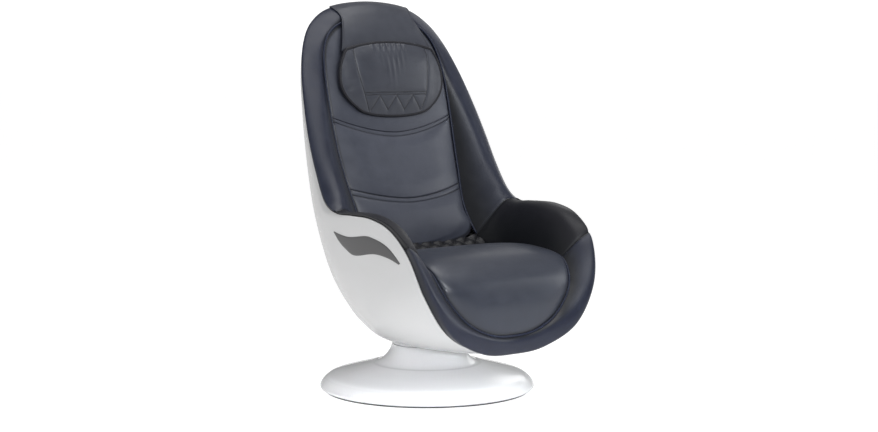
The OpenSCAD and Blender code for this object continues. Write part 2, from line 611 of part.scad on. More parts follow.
// One arm carries an upper and a lower roller on the outer side of its plate
module massage_arm(side) {
    x = side * ARM_X;
    pin = [min(side * 54, side * 83), max(side * 54, side * 83)];
    color("gainsboro") carriage() difference() {
        union() {
            across(x - 4, x + 4, PIVOT_Y, 0, 16);
            arm_link(x, ROLLER_Z);
            arm_link(x, -ROLLER_Z);
            for (z = [-ROLLER_Z, ROLLER_Z]) {
                across(pin[0] - 2, pin[1] + 2, ROLLER_Y, z, 4);
                across(side > 0 ? 82 : -86, side > 0 ? 86 : -82, ROLLER_Y, z, 7);
            }
        }
        across(x - 9, x + 9, PIVOT_Y, 0, 10 + run_fit);
    }
}
module massage_arm_left() {
    massage_arm(1);
}
module massage_arm_right() {
    massage_arm(-1);
}
module roller(side, z) {
    x0 = side > 0 ? 57 : -57 - roller_len;
    color("orangered") carriage() difference() {
        translate([x0, ROLLER_Y, z]) rotate([0, 90, 0]) rotate_extrude() polygon(concat([[0, 0]],
            [for (a = [-60:10:60]) [roller_r - 9 + 9 * cos(a * 1.35), roller_len / 2 * (1 + a / 60)]],
            [[0, roller_len]]));
        across(x0 - 1, x0 + roller_len + 1, ROLLER_Y, z, 4 + run_fit);
    }
}
module roller_upper_right() {
    roller(-1, ROLLER_Z);
}
module roller_lower_right() {
    roller(-1, -ROLLER_Z);
}
module roller_upper_left() {
    roller(1, ROLLER_Z);
}
module roller_lower_left() {
    roller(1, -ROLLER_Z);
}
module heater_mat() {
    color("darkred") lean() box(-110, 110, 37.4, 38.8, 60, 200);
}

// ---- Mains inlet ------------------------------------------------------------------------------------
module mains_inlet() {
    color("black") inlet_place() difference() {
        union() {
            box(-50, 50, 0.6, 4, -22, 22);
            box(-42, 42, -30, 0.4, -15, 15);
        }
        box(-38, -6, -18, 6, -11, 11);
        box(8, 38, -16, 6, -12.4, 12.4);
        across(5, 41, -SWITCH_DEPTH, 0, 1.5 + run_fit);
    }
    color("silver") inlet_place() for (x = [-30, -22, -14]) box(x - 1, x + 1, -18, -4, -3, 3);
}
SWITCH_X = 23;
SWITCH_DEPTH = 6;
// Rocker with one lobe proud and the other pressed in, on a pin through its middle
module power_switch() {
    color("black") inlet_place() union() {
        translate([SWITCH_X - 14.6, -SWITCH_DEPTH, 0]) rotate([90, 0, 90])
            linear_extrude(29.2) polygon([[-6, -4], [-6, 4], [2, 8], [8.5, 8], [8, 0], [12, -8], [2, -8]]);
        across(SWITCH_X - 17, SWITCH_X + 17, -SWITCH_DEPTH, 0, 1.5);
    }
}

floor_pad();
base_plate();
base_bolts();
column_tube();
pedestal_cover();
bearing_lower_race();
bearing_balls();
bearing_upper_race();
swivel_hub();
swivel_bolts();
swivel_collar();
seat_frame();
seat_board();
shell_body();
shell_back_panel();
panel_screws();
side_inlay_right();
side_inlay_left();
crown_bolster();
arm_bolster_right();
arm_bolster_left();
front_bolster();
back_pad();
seat_rear_quilt();
seat_cushion();
crown_strap();
head_pillow();
pillow_flap();
back_frame();
frame_bolts();
rail_right();
rail_left();
drive_motor();
lead_screw();
carriage_frame();
screw_nut();
slide_bushings();
kneading_gearmotor();
kneading_shaft();
massage_arm_right();
massage_arm_left();
roller_upper_right();
roller_lower_right();
roller_upper_left();
roller_lower_left();
heater_mat();
vibration_motors();
power_supply();
control_box();
mains_inlet();
power_switch();
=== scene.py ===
"""Massage chair on a round swivel pedestal: the looks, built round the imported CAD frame."""

import json
import math

import bmesh
import bpy
import numpy as np
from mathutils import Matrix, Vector
from mathutils.bvhtree import BVHTree


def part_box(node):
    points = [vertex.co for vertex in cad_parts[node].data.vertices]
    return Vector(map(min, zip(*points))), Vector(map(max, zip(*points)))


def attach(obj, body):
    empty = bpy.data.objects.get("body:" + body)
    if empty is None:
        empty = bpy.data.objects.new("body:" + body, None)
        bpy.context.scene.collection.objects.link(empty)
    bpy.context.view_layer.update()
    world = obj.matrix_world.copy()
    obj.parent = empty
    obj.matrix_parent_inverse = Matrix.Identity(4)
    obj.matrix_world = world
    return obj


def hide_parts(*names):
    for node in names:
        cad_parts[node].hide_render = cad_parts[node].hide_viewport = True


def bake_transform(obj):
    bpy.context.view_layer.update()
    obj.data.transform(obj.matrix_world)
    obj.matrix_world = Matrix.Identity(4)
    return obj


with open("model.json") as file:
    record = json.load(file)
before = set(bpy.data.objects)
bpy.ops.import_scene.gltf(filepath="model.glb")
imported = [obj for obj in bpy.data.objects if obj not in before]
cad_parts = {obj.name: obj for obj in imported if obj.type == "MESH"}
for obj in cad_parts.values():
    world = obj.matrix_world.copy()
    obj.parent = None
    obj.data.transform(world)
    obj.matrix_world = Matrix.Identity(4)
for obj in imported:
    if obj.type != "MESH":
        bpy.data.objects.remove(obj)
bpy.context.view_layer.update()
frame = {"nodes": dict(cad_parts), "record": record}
nodes = frame["nodes"]
MM = 0.001

# ---- Driving curves, in millimetres: right half, from the crown to the middle of the front lip ----
# The same curves as in the CAD. They are not all drawn by hand: EDGE, CREST, INNER and part of GROOVE were
# corrected by a least-squares fit to the chair's outline, and the inlay's outlines were computed.
def points(text):
    return np.array([[float(v) for v in row.split()] for row in text.split(",")])


# Edge of the shell, under the leather roll
EDGE = points(
    "0 324 1168, 137 321 1155, 216 304 1116, 262 279 1055, 290 244 966, 309 200 861, 322 160 765,"
    "331 116 672, 341 57 589, 351 -17 562, 355 -103 561, 355 -193 557, 349 -278 528, 341 -350 459,"
    "317 -394 346, 243 -402 237, 115 -389 175, 0 -383 163"
)
# Crest of the leather roll
CREST = points(
    "0 304 1187, 141 301 1171, 222 288 1126, 271 262 1060, 305 222 969, 327 176 868, 341 132 773, 348 85 679,"
    "354 31 597, 354 -30 566, 355 -106 569, 355 -197 567, 350 -292 541, 339 -375 470, 305 -421 348,"
    "231 -427 232, 114 -415 173, 0 -407 161"
)
# Where the roll turns inwards to the padded wall
INNER = points(
    "0 267 1171, 116 266 1154, 185 257 1110, 230 238 1053, 253 206 968, 272 158 869, 285 114 776, 292 68 686,"
    "298 18 610, 299 -22 558, 296 -102 556, 296 -196 552, 302 -291 522, 302 -366 448, 272 -414 342,"
    "208 -424 261, 102 -421 212, 0 -416 195"
)
# Groove between the padded wall and the back pad or the seat cushion; the pad's edge shares its upper part
BESIDE_PAD = points(
    "0 256 1138, 110 256 1128, 176 252 1100, 214 238 1046, 229 214 965, 231 186 860, 228 160 762,"
    "221 128 665, 209 79 543"
)
BESIDE_SEAT = points(
    "230 19 443, 257 -59 422, 262 -153 429, 257 -259 431, 254 -341 407, 233 -385 338, 167 -402 262,"
    "84 -406 222, 0 -404 213"
)
GROOVE = np.vstack([BESIDE_PAD, BESIDE_SEAT])
# Ridge of the shell down the middle of its back and along its belly
SPINE = points(
    "0 338 1125, 0 340 1085, 0 341 1040, 0 341 985, 0 339 915, 0 333 835, 0 323 755, 0 309 670, 0 292 580,"
    "0 276 490, 0 258 395, 0 226 305, 0 176 235, 0 112 185, 0 20 152, 0 -110 146, 0 -250 148, 0 -350 158"
)
# Edge and middle line of the back pad, top to bottom
PAD_EDGE = np.vstack([BESIDE_PAD, points("215 45 483, 160 33 448, 0 33 434")])
PAD_MID = points(
    "0 254 1120, 0 250 1100, 0 244 1072, 0 230 1030, 0 202 960, 0 175 860, 0 149 762, 0 117 665, 0 66 560,"
    "0 48 506, 0 40 474, 0 36 452"
)
# Middle line of the seat cushion's top and of its underside, from the rear to the front lip
SEAT_TOP = points(
    "0 16 427, 0 -60 432, 0 -150 446, 0 -240 452, 0 -330 438, 0 -394 383, 0 -414 318, 0 -412 262, 0 -408 224"
)
SEAT_UNDER = points(
    "0 16 352, 0 -60 352, 0 -150 352, 0 -235 352, 0 -305 352, 0 -335 325, 0 -352 280, 0 -366 248, 0 -392 220"
)
MIRROR = np.array([-1.0, 1.0, 1.0])
STEPS = len(EDGE) - 1
WING_SEAM = 8.8 / STEPS
FRONT_SEAM = 12.75 / STEPS
SEAT_START = 9.72 / STEPS
RECLINE = math.radians(17.5)
BACKWARD = np.array([0.0, math.cos(RECLINE), -math.sin(RECLINE)])


# ---- Surface functions ---------------------------------------------------------------------------
def unit(v):
    return v / np.maximum(np.linalg.norm(v, axis=-1, keepdims=True), 1e-9)


def spline(a, b, c, d, f):
    return 0.5 * (2 * b + (c - a) * f + (2 * a - 5 * b + 4 * c - d) * f**2 + (3 * b - a - 3 * c + d) * f**3)


def through(run, t):
    """Smooth curve through the inner points of run; its two end points only set the curve's direction."""
    n = len(run) - 3
    s = np.clip(np.asarray(t, float), 0, 1) * n
    i = np.minimum(s.astype(int), n - 1)
    return spline(run[i], run[i + 1], run[i + 2], run[i + 3], (s - i)[..., None])


def curve(line, t):
    """Smooth curve through the points of line; both ends run on as the curve's own mirror image."""
    return through(np.vstack([line[1] * MIRROR, line, line[-2] * MIRROR]), t)


def flat_curve(line, t):
    """Smooth curve through the points of line; both ends run on straight."""
    return through(np.vstack([2 * line[0] - line[1], line, 2 * line[-1] - line[-2]]), t)


def rim(line, s):
    """The same curve run past its ends onto the other half of the body."""
    s = np.asarray(s, float)
    p = curve(line, np.where(s > 1, 2 - s, np.abs(s)))
    p[..., 0] *= np.where((s < 0) | (s > 1), -1, 1)
    return p


def arch(m, e, q, a):
    """Point between a middle line m and an edge point e on a rounded section; a runs from -90 to 90."""
    a = np.radians(a)
    w = np.sign(a) * np.abs(np.sin(a)) ** (2 / q)
    h = 1 - np.maximum(np.cos(a), 0) ** (2 / q)
    y, z = (m[..., k] + (e[..., k] - m[..., k]) * h for k in (1, 2))
    return np.stack([e[..., 0] * w, y, z], -1)


def shell_point(t, a):
    t, a = np.broadcast_arrays(np.asarray(t, float), np.asarray(a, float))
    a = np.clip(np.where((t < 0) | (t > 1), -a, a), -90, 90)
    t = np.where(t > 1, 2 - t, np.abs(t))
    q = 2 + 0.55 * np.sin(np.pi * np.clip((t - 0.3) / 0.8, 0, 1)) ** 2
    return arch(curve(SPINE, t), curve(EDGE, t), q, a)


def shell_surface(t, a, depth=0.0):
    """Points depth millimetres inside the shell's outer face."""
    down = shell_point(np.asarray(t) + 0.006, a) - shell_point(np.asarray(t) - 0.006, a)
    across = shell_point(t, np.asarray(a) + 2) - shell_point(t, np.asarray(a) - 2)
    return shell_point(t, a) + depth * unit(np.cross(down, across))


def roll_point(s, k):
    """Leather from the shell's edge (k = 0) over the crest and the inner corner to the groove (k = 3)."""
    s, k = np.broadcast_arrays(np.asarray(s, float), np.asarray(k, float))
    e, c, i, g = (rim(line, s) for line in (EDGE, CREST, INNER, GROOVE))
    e1 = e + 2.2 * unit(c - e)
    run = np.stack([e1 + (e1 - c) * 0.6 + (e1 - i) * 0.35, e1, c, i, g, g + (g - i) * 0.2 + (e - g) * 0.25])
    n = np.clip(k.astype(int), 0, 2)
    pick = [np.take_along_axis(run, (n + o)[None, ..., None], 0)[0] for o in range(4)]
    return spline(*pick, (k - n)[..., None])


def tucked(e, m, gap=3.0):
    return e + gap * unit(m - e)


def pad_front(t, a):
    m = curve(PAD_MID, t)
    return arch(m, tucked(curve(PAD_EDGE, t), m), 2.6, a)


def along(t):
    return (np.asarray(t, float) * STEPS - 9) / (STEPS - 9)


def seat_top(t, a):
    m = curve(SEAT_TOP, along(t))
    return arch(m, tucked(curve(GROOVE, t), m), 4, a)


def seat_under(t, a):
    m = curve(SEAT_UNDER, along(t))
    g = tucked(curve(GROOVE, t), m)
    return arch(m, g + 10 * unit(m - curve(SEAT_TOP, along(t))), 3.4, a)


# ---- Mesh builders -------------------------------------------------------------------------------
def add_mesh(name, verts, faces, material, sharp=35.0):
    """Object from vertices in millimetres, smooth except where faces meet at more than sharp degrees."""
    mesh = bpy.data.meshes.new(name)
    mesh.from_pydata((np.asarray(verts, float) * MM).tolist(), [], [list(map(int, f)) for f in faces])
    work = bmesh.new()
    work.from_mesh(mesh)
    bmesh.ops.recalc_face_normals(work, faces=work.faces)
    work.to_mesh(mesh)
    work.free()
    mesh.polygons.foreach_set("use_smooth", np.ones(len(mesh.polygons), bool))
    mesh.set_sharp_from_angle(angle=math.radians(sharp))
    mesh.materials.append(material)
    obj = bpy.data.objects.new(name, mesh)
    bpy.context.scene.collection.objects.link(obj)
    return obj


def grid_ids(rows, cols, fold=(False, False)):
    """Vertex numbers of a grid. A folded end row is joined to its own mirror image."""
    ids = np.arange(rows * cols).reshape(rows, cols)
    for row, folded in ((0, fold[0]), (rows - 1, fold[1])):
        if folded:
            ids[row] = np.maximum(ids[row], ids[row][::-1])
    return ids


def slab(near, far, keep=None, fold=(False, False)):
    """Vertices, faces and used grid numbers of the closed solid between two grids."""
    rows, cols = near.shape[:2]
    ids = grid_ids(rows, cols, fold)
    i, j = np.meshgrid(np.arange(rows - 1), np.arange(cols - 1), indexing="ij")
    mask = np.ones_like(i, bool) if keep is None else keep(i, j)
    i, j = i[mask], j[mask]
    quads = np.stack([ids[i, j], ids[i + 1, j], ids[i + 1, j + 1], ids[i, j + 1]], 1).tolist()
    edges = {}
    for q in quads:
        for a, b in zip(q, q[1:] + q[:1]):
            if (b, a) in edges:
                del edges[(b, a)]
            else:
                edges[(a, b)] = True
    other = rows * cols
    faces = quads + [[v + other for v in q[::-1]] for q in quads]
    faces += [[b, a, a + other, b + other] for a, b in edges]
    verts = np.concatenate([near.reshape(-1, 3), far.reshape(-1, 3)])
    used, faces = np.unique(np.array(faces), return_inverse=True)
    return verts[used], faces.reshape(-1, 4), used


def loft(rings, closed=False):
    """Vertices and faces of a solid through rings of points, capped unless it closes on itself."""
    m, n = rings.shape[:2]
    i, j = np.meshgrid(np.arange(m if closed else m - 1), np.arange(n), indexing="ij")
    i, j = i.ravel(), j.ravel()
    k, after = (i + 1) % m, (j + 1) % n
    faces = np.stack([i * n + j, k * n + j, k * n + after, i * n + after], 1).tolist()
    if not closed:
        faces += [list(range(n))[::-1], list(range((m - 1) * n, m * n))]
    return rings.reshape(-1, 3), faces


def tube(path, radius, closed=False, sides=12):
    """Rings of a round cord along a path, with rounded ends."""
    path = np.asarray(path, float)
    ahead = unit(np.roll(path, -1, 0) - np.roll(path, 1, 0)) if closed else unit(np.gradient(path, axis=0))
    up = np.zeros_like(path)
    up[0] = unit(np.cross(ahead[0], [0.31, 0.52, 0.8]))
    for k in range(1, len(path)):
        up[k] = unit(up[k - 1] - ahead[k] * (up[k - 1] @ ahead[k]))
    side = np.cross(ahead, up)
    turn = np.linspace(0, 2 * np.pi, sides, endpoint=False)[None, :, None]
    r = np.full(len(path), float(radius))
    if not closed:
        r[[0, -1]] *= 0.4
    return path[:, None] + (up[:, None] * np.cos(turn) + side[:, None] * np.sin(turn)) * r[:, None, None]


def lathe(profile, count=192):
    """Rings of a solid turned about the Z axis; profile is a closed loop of (radius, height)."""
    turn = np.linspace(0, 2 * np.pi, count, endpoint=False)
    r, z = np.asarray(profile, float).T
    axes = ((np.cos(turn), r), (np.sin(turn), r), (np.ones_like(turn), z))
    return np.stack([around[:, None] * size for around, size in axes], -1)


def grid_normals(grid):
    return unit(np.cross(np.gradient(grid, axis=0), np.gradient(grid, axis=1)))


def resample(rows, step):
    """Evenly spaced rows along a path whose first three columns are its points."""
    rows = np.asarray(rows, float)
    run = np.concatenate([[0], np.cumsum(np.linalg.norm(np.diff(rows[:, :3], axis=0), axis=1))])
    at = np.linspace(0, run[-1], max(int(round(run[-1] / step)), 1) + 1)
    return np.stack([np.interp(at, run, rows[:, k]) for k in range(rows.shape[1])], 1)


def ramp(x, low, high):
    """0 below low, 1 above high, smooth between."""
    f = np.clip((np.asarray(x, float) - low) / (high - low), 0, 1)
    return f * f * (3 - 2 * f)


def bump(distance, width):
    return np.exp(-((np.asarray(distance, float) / width) ** 2))


def spread(*stops):
    """Even steps through (value, steps, value, steps, ..., value)."""
    out = [np.array([stops[0]], float)]
    for low, count, high in zip(stops[0::2], stops[1::2], stops[2::2]):
        out.append(np.linspace(low, high, count + 1)[1:])
    return np.concatenate(out)


def paint(obj, name, values):
    """Stores one number per vertex for the material to read."""
    layer = obj.data.attributes.new(name, "FLOAT", "POINT")
    layer.data.foreach_set("value", np.asarray(values, np.float32).ravel())


def paint_front(obj, used, shade, rear=0.0):
    """Painted shade of a slab made from two grids: shade on the near grid, one value on the far one."""
    paint(obj, "seam", np.concatenate([shade.ravel(), np.full(shade.size, rear)])[used])


def place(obj, body, slot_name, *stands_for, fill=None):
    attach(obj, body)
    if stands_for:
        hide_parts(*stands_for)
    return obj


def stitches(name, seams, body, pitch=4.4, length=2.9, radius=0.45):
    """Thread stitches in one mesh, each a short flattened bead along its seam. A seam is (path, up)."""
    along_bead, bead_r = np.array([-0.5, -0.3, 0, 0.3, 0.5]), np.array([0.3, 0.9, 1, 0.9, 0.3])
    turn = np.arange(6) * np.pi / 3
    wrap = [(k, n, (n + 1) % 6) for k in range(4) for n in range(6)]
    side_faces = [[k * 6 + n, k * 6 + 6 + n, k * 6 + 6 + after, k * 6 + after] for k, n, after in wrap]
    verts, faces = [], []
    for path, up in seams:
        fine = resample(np.hstack([path, np.broadcast_to(up, np.shape(path))]), pitch)[1:-1]
        if len(fine) < 2:
            continue
        p, up = fine[:, :3], fine[:, 3:]
        ahead = unit(np.gradient(p, axis=0))
        up = unit(up - ahead * np.sum(up * ahead, 1, keepdims=True))
        side = np.cross(ahead, up)
        shape = (
            p[:, None, None]
            + ahead[:, None, None] * (along_bead * length)[None, :, None, None]
            + up[:, None, None] * (np.outer(bead_r, np.cos(turn)) * radius * 0.8)[None, ..., None]
            + side[:, None, None] * (np.outer(bead_r, np.sin(turn)) * radius)[None, ..., None]
        )
        for bead in shape.reshape(-1, 30, 3):
            start = len(verts)
            verts.extend(bead)
            faces += [[start + v for v in f] for f in side_faces]
            faces += [[start + v for v in range(6)][::-1], [start + 24 + v for v in range(6)]]
    obj = add_mesh(name, verts, faces, THREAD, sharp=80)
    return place(obj, body, "leather_charcoal")


def swell(jobs, frames=20):
    """Cloth simulation of padded panels: each job is (near, far, fold, pinned, pressure, cap in mm).
    Returns how far each near grid moved."""
    scene = bpy.context.scene
    scene.frame_start, scene.frame_end = 1, frames
    made = []
    for k, (near, far, fold, pinned, pressure, cap) in enumerate(jobs):
        verts, faces, used = slab(near, far, fold=fold)
        obj = add_mesh(f"swell_{k}", verts, faces, LEATHER_PAD)
        count = near.shape[0] * near.shape[1]
        held = np.concatenate([pinned.ravel(), np.ones(count, bool)])[used]
        group = obj.vertex_groups.new(name="held")
        group.add([int(v) for v in np.nonzero(held)[0]], 1.0, "REPLACE")
        cloth = obj.modifiers.new("cloth", "CLOTH")
        s = cloth.settings
        s.quality, s.mass, s.air_damping = 6, 0.25, 2
        s.tension_stiffness, s.compression_stiffness, s.shear_stiffness, s.bending_stiffness = 12, 6, 4, 0.6
        s.use_pressure, s.uniform_pressure_force = True, pressure
        s.vertex_group_mass = "held"
        s.effector_weights.gravity = 0
        cloth.collision_settings.use_collision = False
        cloth.point_cache.frame_start, cloth.point_cache.frame_end = 1, frames
        made.append((obj, verts, used, near, cap, fold))
    for frame_number in range(1, frames + 1):
        scene.frame_set(frame_number)
    moved = []
    for obj, verts, used, near, cap, fold in made:
        shape = obj.evaluated_get(bpy.context.evaluated_depsgraph_get()).data
        now = np.empty(len(verts) * 3)
        shape.vertices.foreach_get("co", now)
        shift = now.reshape(-1, 3) / MM - verts
        far_off = np.linalg.norm(shift, axis=1, keepdims=True)
        shift *= np.minimum(1, cap / np.maximum(far_off, 1e-6))
        rows, cols = near.shape[:2]
        full = np.zeros((2 * rows * cols, 3))
        full[used] = shift
        moved.append(full[grid_ids(rows, cols, fold)])
        bpy.data.objects.remove(obj)
    scene.frame_set(1)
    return moved


def calm(grid, rounds):
    """The grid with its small wrinkles eased out; its border stays."""
    grid = grid.copy()
    for _ in range(rounds):
        around = grid[:-2, 1:-1] + grid[2:, 1:-1] + grid[1:-1, :-2] + grid[1:-1, 2:]
        grid[1:-1, 1:-1] = 0.5 * grid[1:-1, 1:-1] + 0.125 * around
    return grid


def finer(grid, rows, cols):
    """Values of a grid at fractional row and column numbers, row and column curves smooth."""

    def steps(values, at):
        n = len(values) - 1
        i = np.clip(at.astype(int), 0, n - 1)
        f = (at - i).reshape((-1,) + (1,) * (values.ndim - 1))
        run = np.concatenate([2 * values[:1] - values[1:2], values, 2 * values[-1:] - values[-2:-1]])
        return spline(run[i], run[i + 1], run[i + 2], run[i + 3], f)

    return np.swapaxes(steps(np.swapaxes(steps(grid, rows), 0, 1), cols), 0, 1)


def shift_at(moved, rows, coarse_rows, cols, coarse_cols):
    """The simulated shift of a coarse grid, read at the fine rows and columns."""
    pairs = ((rows, coarse_rows), (cols, coarse_cols))
    return finer(moved, *(np.interp(fine, coarse, np.arange(len(coarse))) for fine, coarse in pairs))


def cord(name, path, radius, body, slot_name, material, closed=False):
    """Round leather cord along a path."""
    obj = add_mesh(name, *loft(tube(path, radius, closed), closed), material, sharp=60)
    paint(obj, "seam", np.zeros(len(obj.data.vertices)))
    return place(obj, body, slot_name, fill=1.0)


# ---- Materials -----------------------------------------------------------------------------------
class Shader:
    """A Principled material with a few helpers for its procedural inputs."""

    def __init__(self, name, color, roughness, metallic=0.0, **direct):
        self.material = bpy.data.materials.new(name)
        self.material.use_nodes = True
        self.material.diffuse_color = (*color, 1)
        self.tree = self.material.node_tree
        self.bsdf = self.tree.nodes["Principled BSDF"]
        self.color = color
        self.set("Base Color", (*color, 1))
        self.set("Roughness", roughness)
        self.set("Metallic", metallic)
        for key, value in direct.items():
            self.set(key.replace("_", " "), value)
        self.coords = self.add("ShaderNodeTexCoord").outputs["Object"]

    def set(self, socket, value):
        self.bsdf.inputs[socket].default_value = value

    def link(self, a, b):
        self.tree.links.new(a, b)

    def add(self, kind, inputs=(), **props):
        made = self.tree.nodes.new(kind)
        for key, value in props.items():
            setattr(made, key, value)
        for key, value in dict(inputs).items():
            if isinstance(value, bpy.types.NodeSocket):
                self.link(value, made.inputs[key])
            else:
                made.inputs[key].default_value = value
        return made

    def stretched(self, scale):
        return self.add("ShaderNodeMapping", {"Vector": self.coords, "Scale": scale}).outputs[0]

    def noise(self, scale, detail=3.0, roughness=0.5, coords=None):
        inputs = {"Vector": coords or self.coords, "Scale": scale, "Detail": detail, "Roughness": roughness}
        return self.add("ShaderNodeTexNoise", inputs).outputs["Fac"]

    def cells(self, scale, feature="F1", coords=None):
        inputs = {"Vector": coords or self.coords, "Scale": scale}
        return self.add("ShaderNodeTexVoronoi", inputs, feature=feature).outputs["Distance"]

    def span(self, value, low, high, to_low, to_high):
        made = self.add("ShaderNodeMapRange", {"Value": value})
        for k, v in zip(("From Min", "From Max", "To Min", "To Max"), (low, high, to_low, to_high)):
            made.inputs[k].default_value = v
        return made.outputs[0]

    def mix(self, factor, a, b):
        made = self.add("ShaderNodeMix", data_type="RGBA")
        for socket, value in zip((made.inputs[0], made.inputs[6], made.inputs[7]), (factor, a, b)):
            if isinstance(value, bpy.types.NodeSocket):
                self.link(value, socket)
            else:
                socket.default_value = value
        return made.outputs[2]

    def vary(self, value, low, high, spread_to):
        """Colour that drifts between two shades of the base as value goes from low to high."""
        dark = tuple(c * (1 - spread_to) for c in self.color) + (1,)
        light = tuple(min(c * (1 + spread_to), 1) for c in self.color) + (1,)
        return self.mix(self.span(value, low, high, 0, 1), dark, light)

    def attribute(self, name):
        return self.add("ShaderNodeAttribute", attribute_name=name).outputs["Fac"]

    def tint(self, color):
        self.link(color, self.bsdf.inputs["Base Color"])

    def rough(self, value, low, high, to_low, to_high):
        self.link(self.span(value, low, high, to_low, to_high), self.bsdf.inputs["Roughness"])

    def relief(self, *layers):
        """Bump layers, each (height, strength, distance in metres)."""
        last = None
        for height, strength, distance in layers:
            made = self.add("ShaderNodeBump", {"Height": height, "Strength": strength, "Distance": distance})
            if last is not None:
                self.link(last, made.inputs["Normal"])
            last = made.outputs[0]
        self.link(last, self.bsdf.inputs["Normal"])


def leather(name, color, roughness, grain_and_shade_color, shine=0.5):
    """Synthetic leather: fine pebble grain, soft creases, and painted shade: the 'seam' attribute darkens it
    in grooves, at seams and along tucked edges.
    """
    s = Shader(name, color, roughness, Specular_IOR_Level=shine, Sheen_Weight=0.06, Sheen_Roughness=0.4)
    grain = s.cells(820.0)
    fine = s.noise(2400.0, 2.0)
    soft = s.noise(26.0, 4.0, 0.55)
    base = s.vary(soft, 0.3, 0.7, 0.07)
    base = s.mix(s.span(grain, 0.0, 0.9, 0.12, 0.0), base, (*grain_and_shade_color, 1))
    # Painted shade: where the 'seam' attribute is high, the colour goes to the dark shade colour.
    base = s.mix(s.attribute("seam"), base, (*grain_and_shade_color, 1))
    s.tint(base)
    s.rough(soft, 0.3, 0.7, roughness - 0.05, roughness + 0.06)
    s.relief((soft, 0.25, 0.0012), (grain, 0.22, 0.00025), (fine, 0.08, 0.0001))
    return s.material


def gloss(name, color, roughness, coat):
    """Glossy painted moulding with a faint orange peel."""
    s = Shader(name, color, roughness, Coat_Weight=coat, Coat_Roughness=0.03, Coat_IOR=1.5)
    s.tint(s.vary(s.noise(3.0, 2.0), 0.3, 0.7, 0.012))
    s.rough(s.noise(9.0, 4.0), 0.3, 0.7, roughness - 0.02, roughness + 0.03)
    s.relief((s.noise(70.0, 2.0), 0.05, 0.0003),)
    return s.material


def metal(name, color, roughness, brush=(1.0, 1.0, 1.0), spots=0.06):
    """Machined or rolled metal: brushed lines, cloudy roughness and darker handling marks."""
    s = Shader(name, color, roughness, 1.0)
    lines = s.noise(420.0, 2.0, coords=s.stretched(brush))
    cloud = s.noise(14.0, 5.0)
    s.tint(s.vary(cloud, 0.3, 0.7, spots))
    s.rough(cloud, 0.3, 0.7, roughness - 0.06, roughness + 0.1)
    s.relief((lines, 0.12, 0.0002),)
    return s.material


def powder_coat(name, color, roughness=0.5):
    s = Shader(name, color, roughness)
    s.tint(s.vary(s.noise(11.0, 4.0), 0.3, 0.7, 0.15))
    s.rough(s.noise(30.0, 3.0), 0.3, 0.7, roughness - 0.05, roughness + 0.08)
    s.relief((s.noise(900.0, 2.0), 0.18, 0.0002),)
    return s.material


def moulded(name, color, roughness=0.45, grain=600.0):
    """Moulded plastic with a spark-eroded grain."""
    s = Shader(name, color, roughness)
    s.tint(s.vary(s.noise(20.0, 4.0), 0.3, 0.7, 0.1))
    s.rough(s.noise(60.0, 3.0), 0.3, 0.7, roughness - 0.04, roughness + 0.08)
    s.relief((s.noise(grain, 3.0), 0.15, 0.00015),)
    return s.material


def rubber(name, color):
    s = Shader(name, color, 0.75)
    s.tint(s.vary(s.noise(40.0, 5.0), 0.3, 0.7, 0.2))
    s.relief((s.noise(300.0, 4.0), 0.25, 0.0003),)
    return s.material


def plywood(name):
    s = Shader(name, (0.62, 0.46, 0.28), 0.6)
    figure = s.noise(24.0, 5.0, 0.6, s.stretched((1.0, 9.0, 9.0)))
    ring_inputs = {"Vector": s.stretched((1.2, 6.0, 60.0)), "Scale": 6.0, "Distortion": 4.0}
    rings = s.add("ShaderNodeTexWave", ring_inputs)
    base = s.mix(s.span(figure, 0.35, 0.65, 0, 1), (0.47, 0.31, 0.17, 1), (0.68, 0.52, 0.33, 1))
    base = s.mix(s.span(rings.outputs["Fac"], 0, 1, 0, 0.3), base, (0.36, 0.22, 0.11, 1))
    s.tint(base)
    s.relief((figure, 0.2, 0.0004),)
    return s.material


def heater_cloth(name):
    s = Shader(name, (0.35, 0.05, 0.05), 0.9, Sheen_Weight=0.3)
    weave = s.add("ShaderNodeTexWave", {"Vector": s.coords, "Scale": 420.0})
    cross = s.add("ShaderNodeTexWave", {"Vector": s.coords, "Scale": 420.0}, bands_direction="Z")
    threads = {0: weave.outputs["Fac"], 1: cross.outputs["Fac"]}
    both = s.add("ShaderNodeMath", threads, operation="MULTIPLY").outputs[0]
    s.tint(s.vary(both, 0, 1, 0.3))
    s.relief((both, 0.4, 0.0004),)
    return s.material


LEATHER_PAD = leather("leather_pad", (0.057, 0.063, 0.087), 0.36, (0.006, 0.007, 0.012), 0.55)
LEATHER_PILLOW = leather("leather_pillow", (0.040, 0.044, 0.060), 0.36, (0.006, 0.007, 0.011), 0.55)
# The seat's leather is a darker copy of the pad's: painted shade that offsets the top light on the cushion.
LEATHER_SEAT = leather("leather_seat", (0.030, 0.036, 0.056), 0.36, (0.003, 0.004, 0.007), 0.7)
LEATHER_PIPING = leather("leather_piping", (0.012, 0.017, 0.040), 0.4, (0.01, 0.014, 0.03), 0.4)
LEATHER_RIM = leather("leather_rim", (0.013, 0.017, 0.037), 0.36, (0.002, 0.003, 0.006), 0.5)
LEATHER_ARM = leather("leather_arm", (0.010, 0.010, 0.015), 0.44, (0.002, 0.003, 0.005), 0.35)
# Near-black copy of the charcoal leather for the quilted strip: painted shade for the narrow slit behind the
# seat.
LEATHER_QUILT_SHADED = leather("leather_quilt_shaded", (0.009, 0.009, 0.012), 0.4, (0.003, 0.003, 0.005), 0.3)
THREAD = moulded("thread", (0.040, 0.045, 0.075), 0.5, 3000.0)
SHELL_WHITE = gloss("shell_white", (0.78, 0.78, 0.782), 0.16, 0.6)
PEDESTAL_WHITE = gloss("pedestal_white", (0.93, 0.935, 0.945), 0.14, 0.7)
INLAY_GREY = gloss("inlay_grey", (0.100, 0.099, 0.101), 0.32, 0.2)
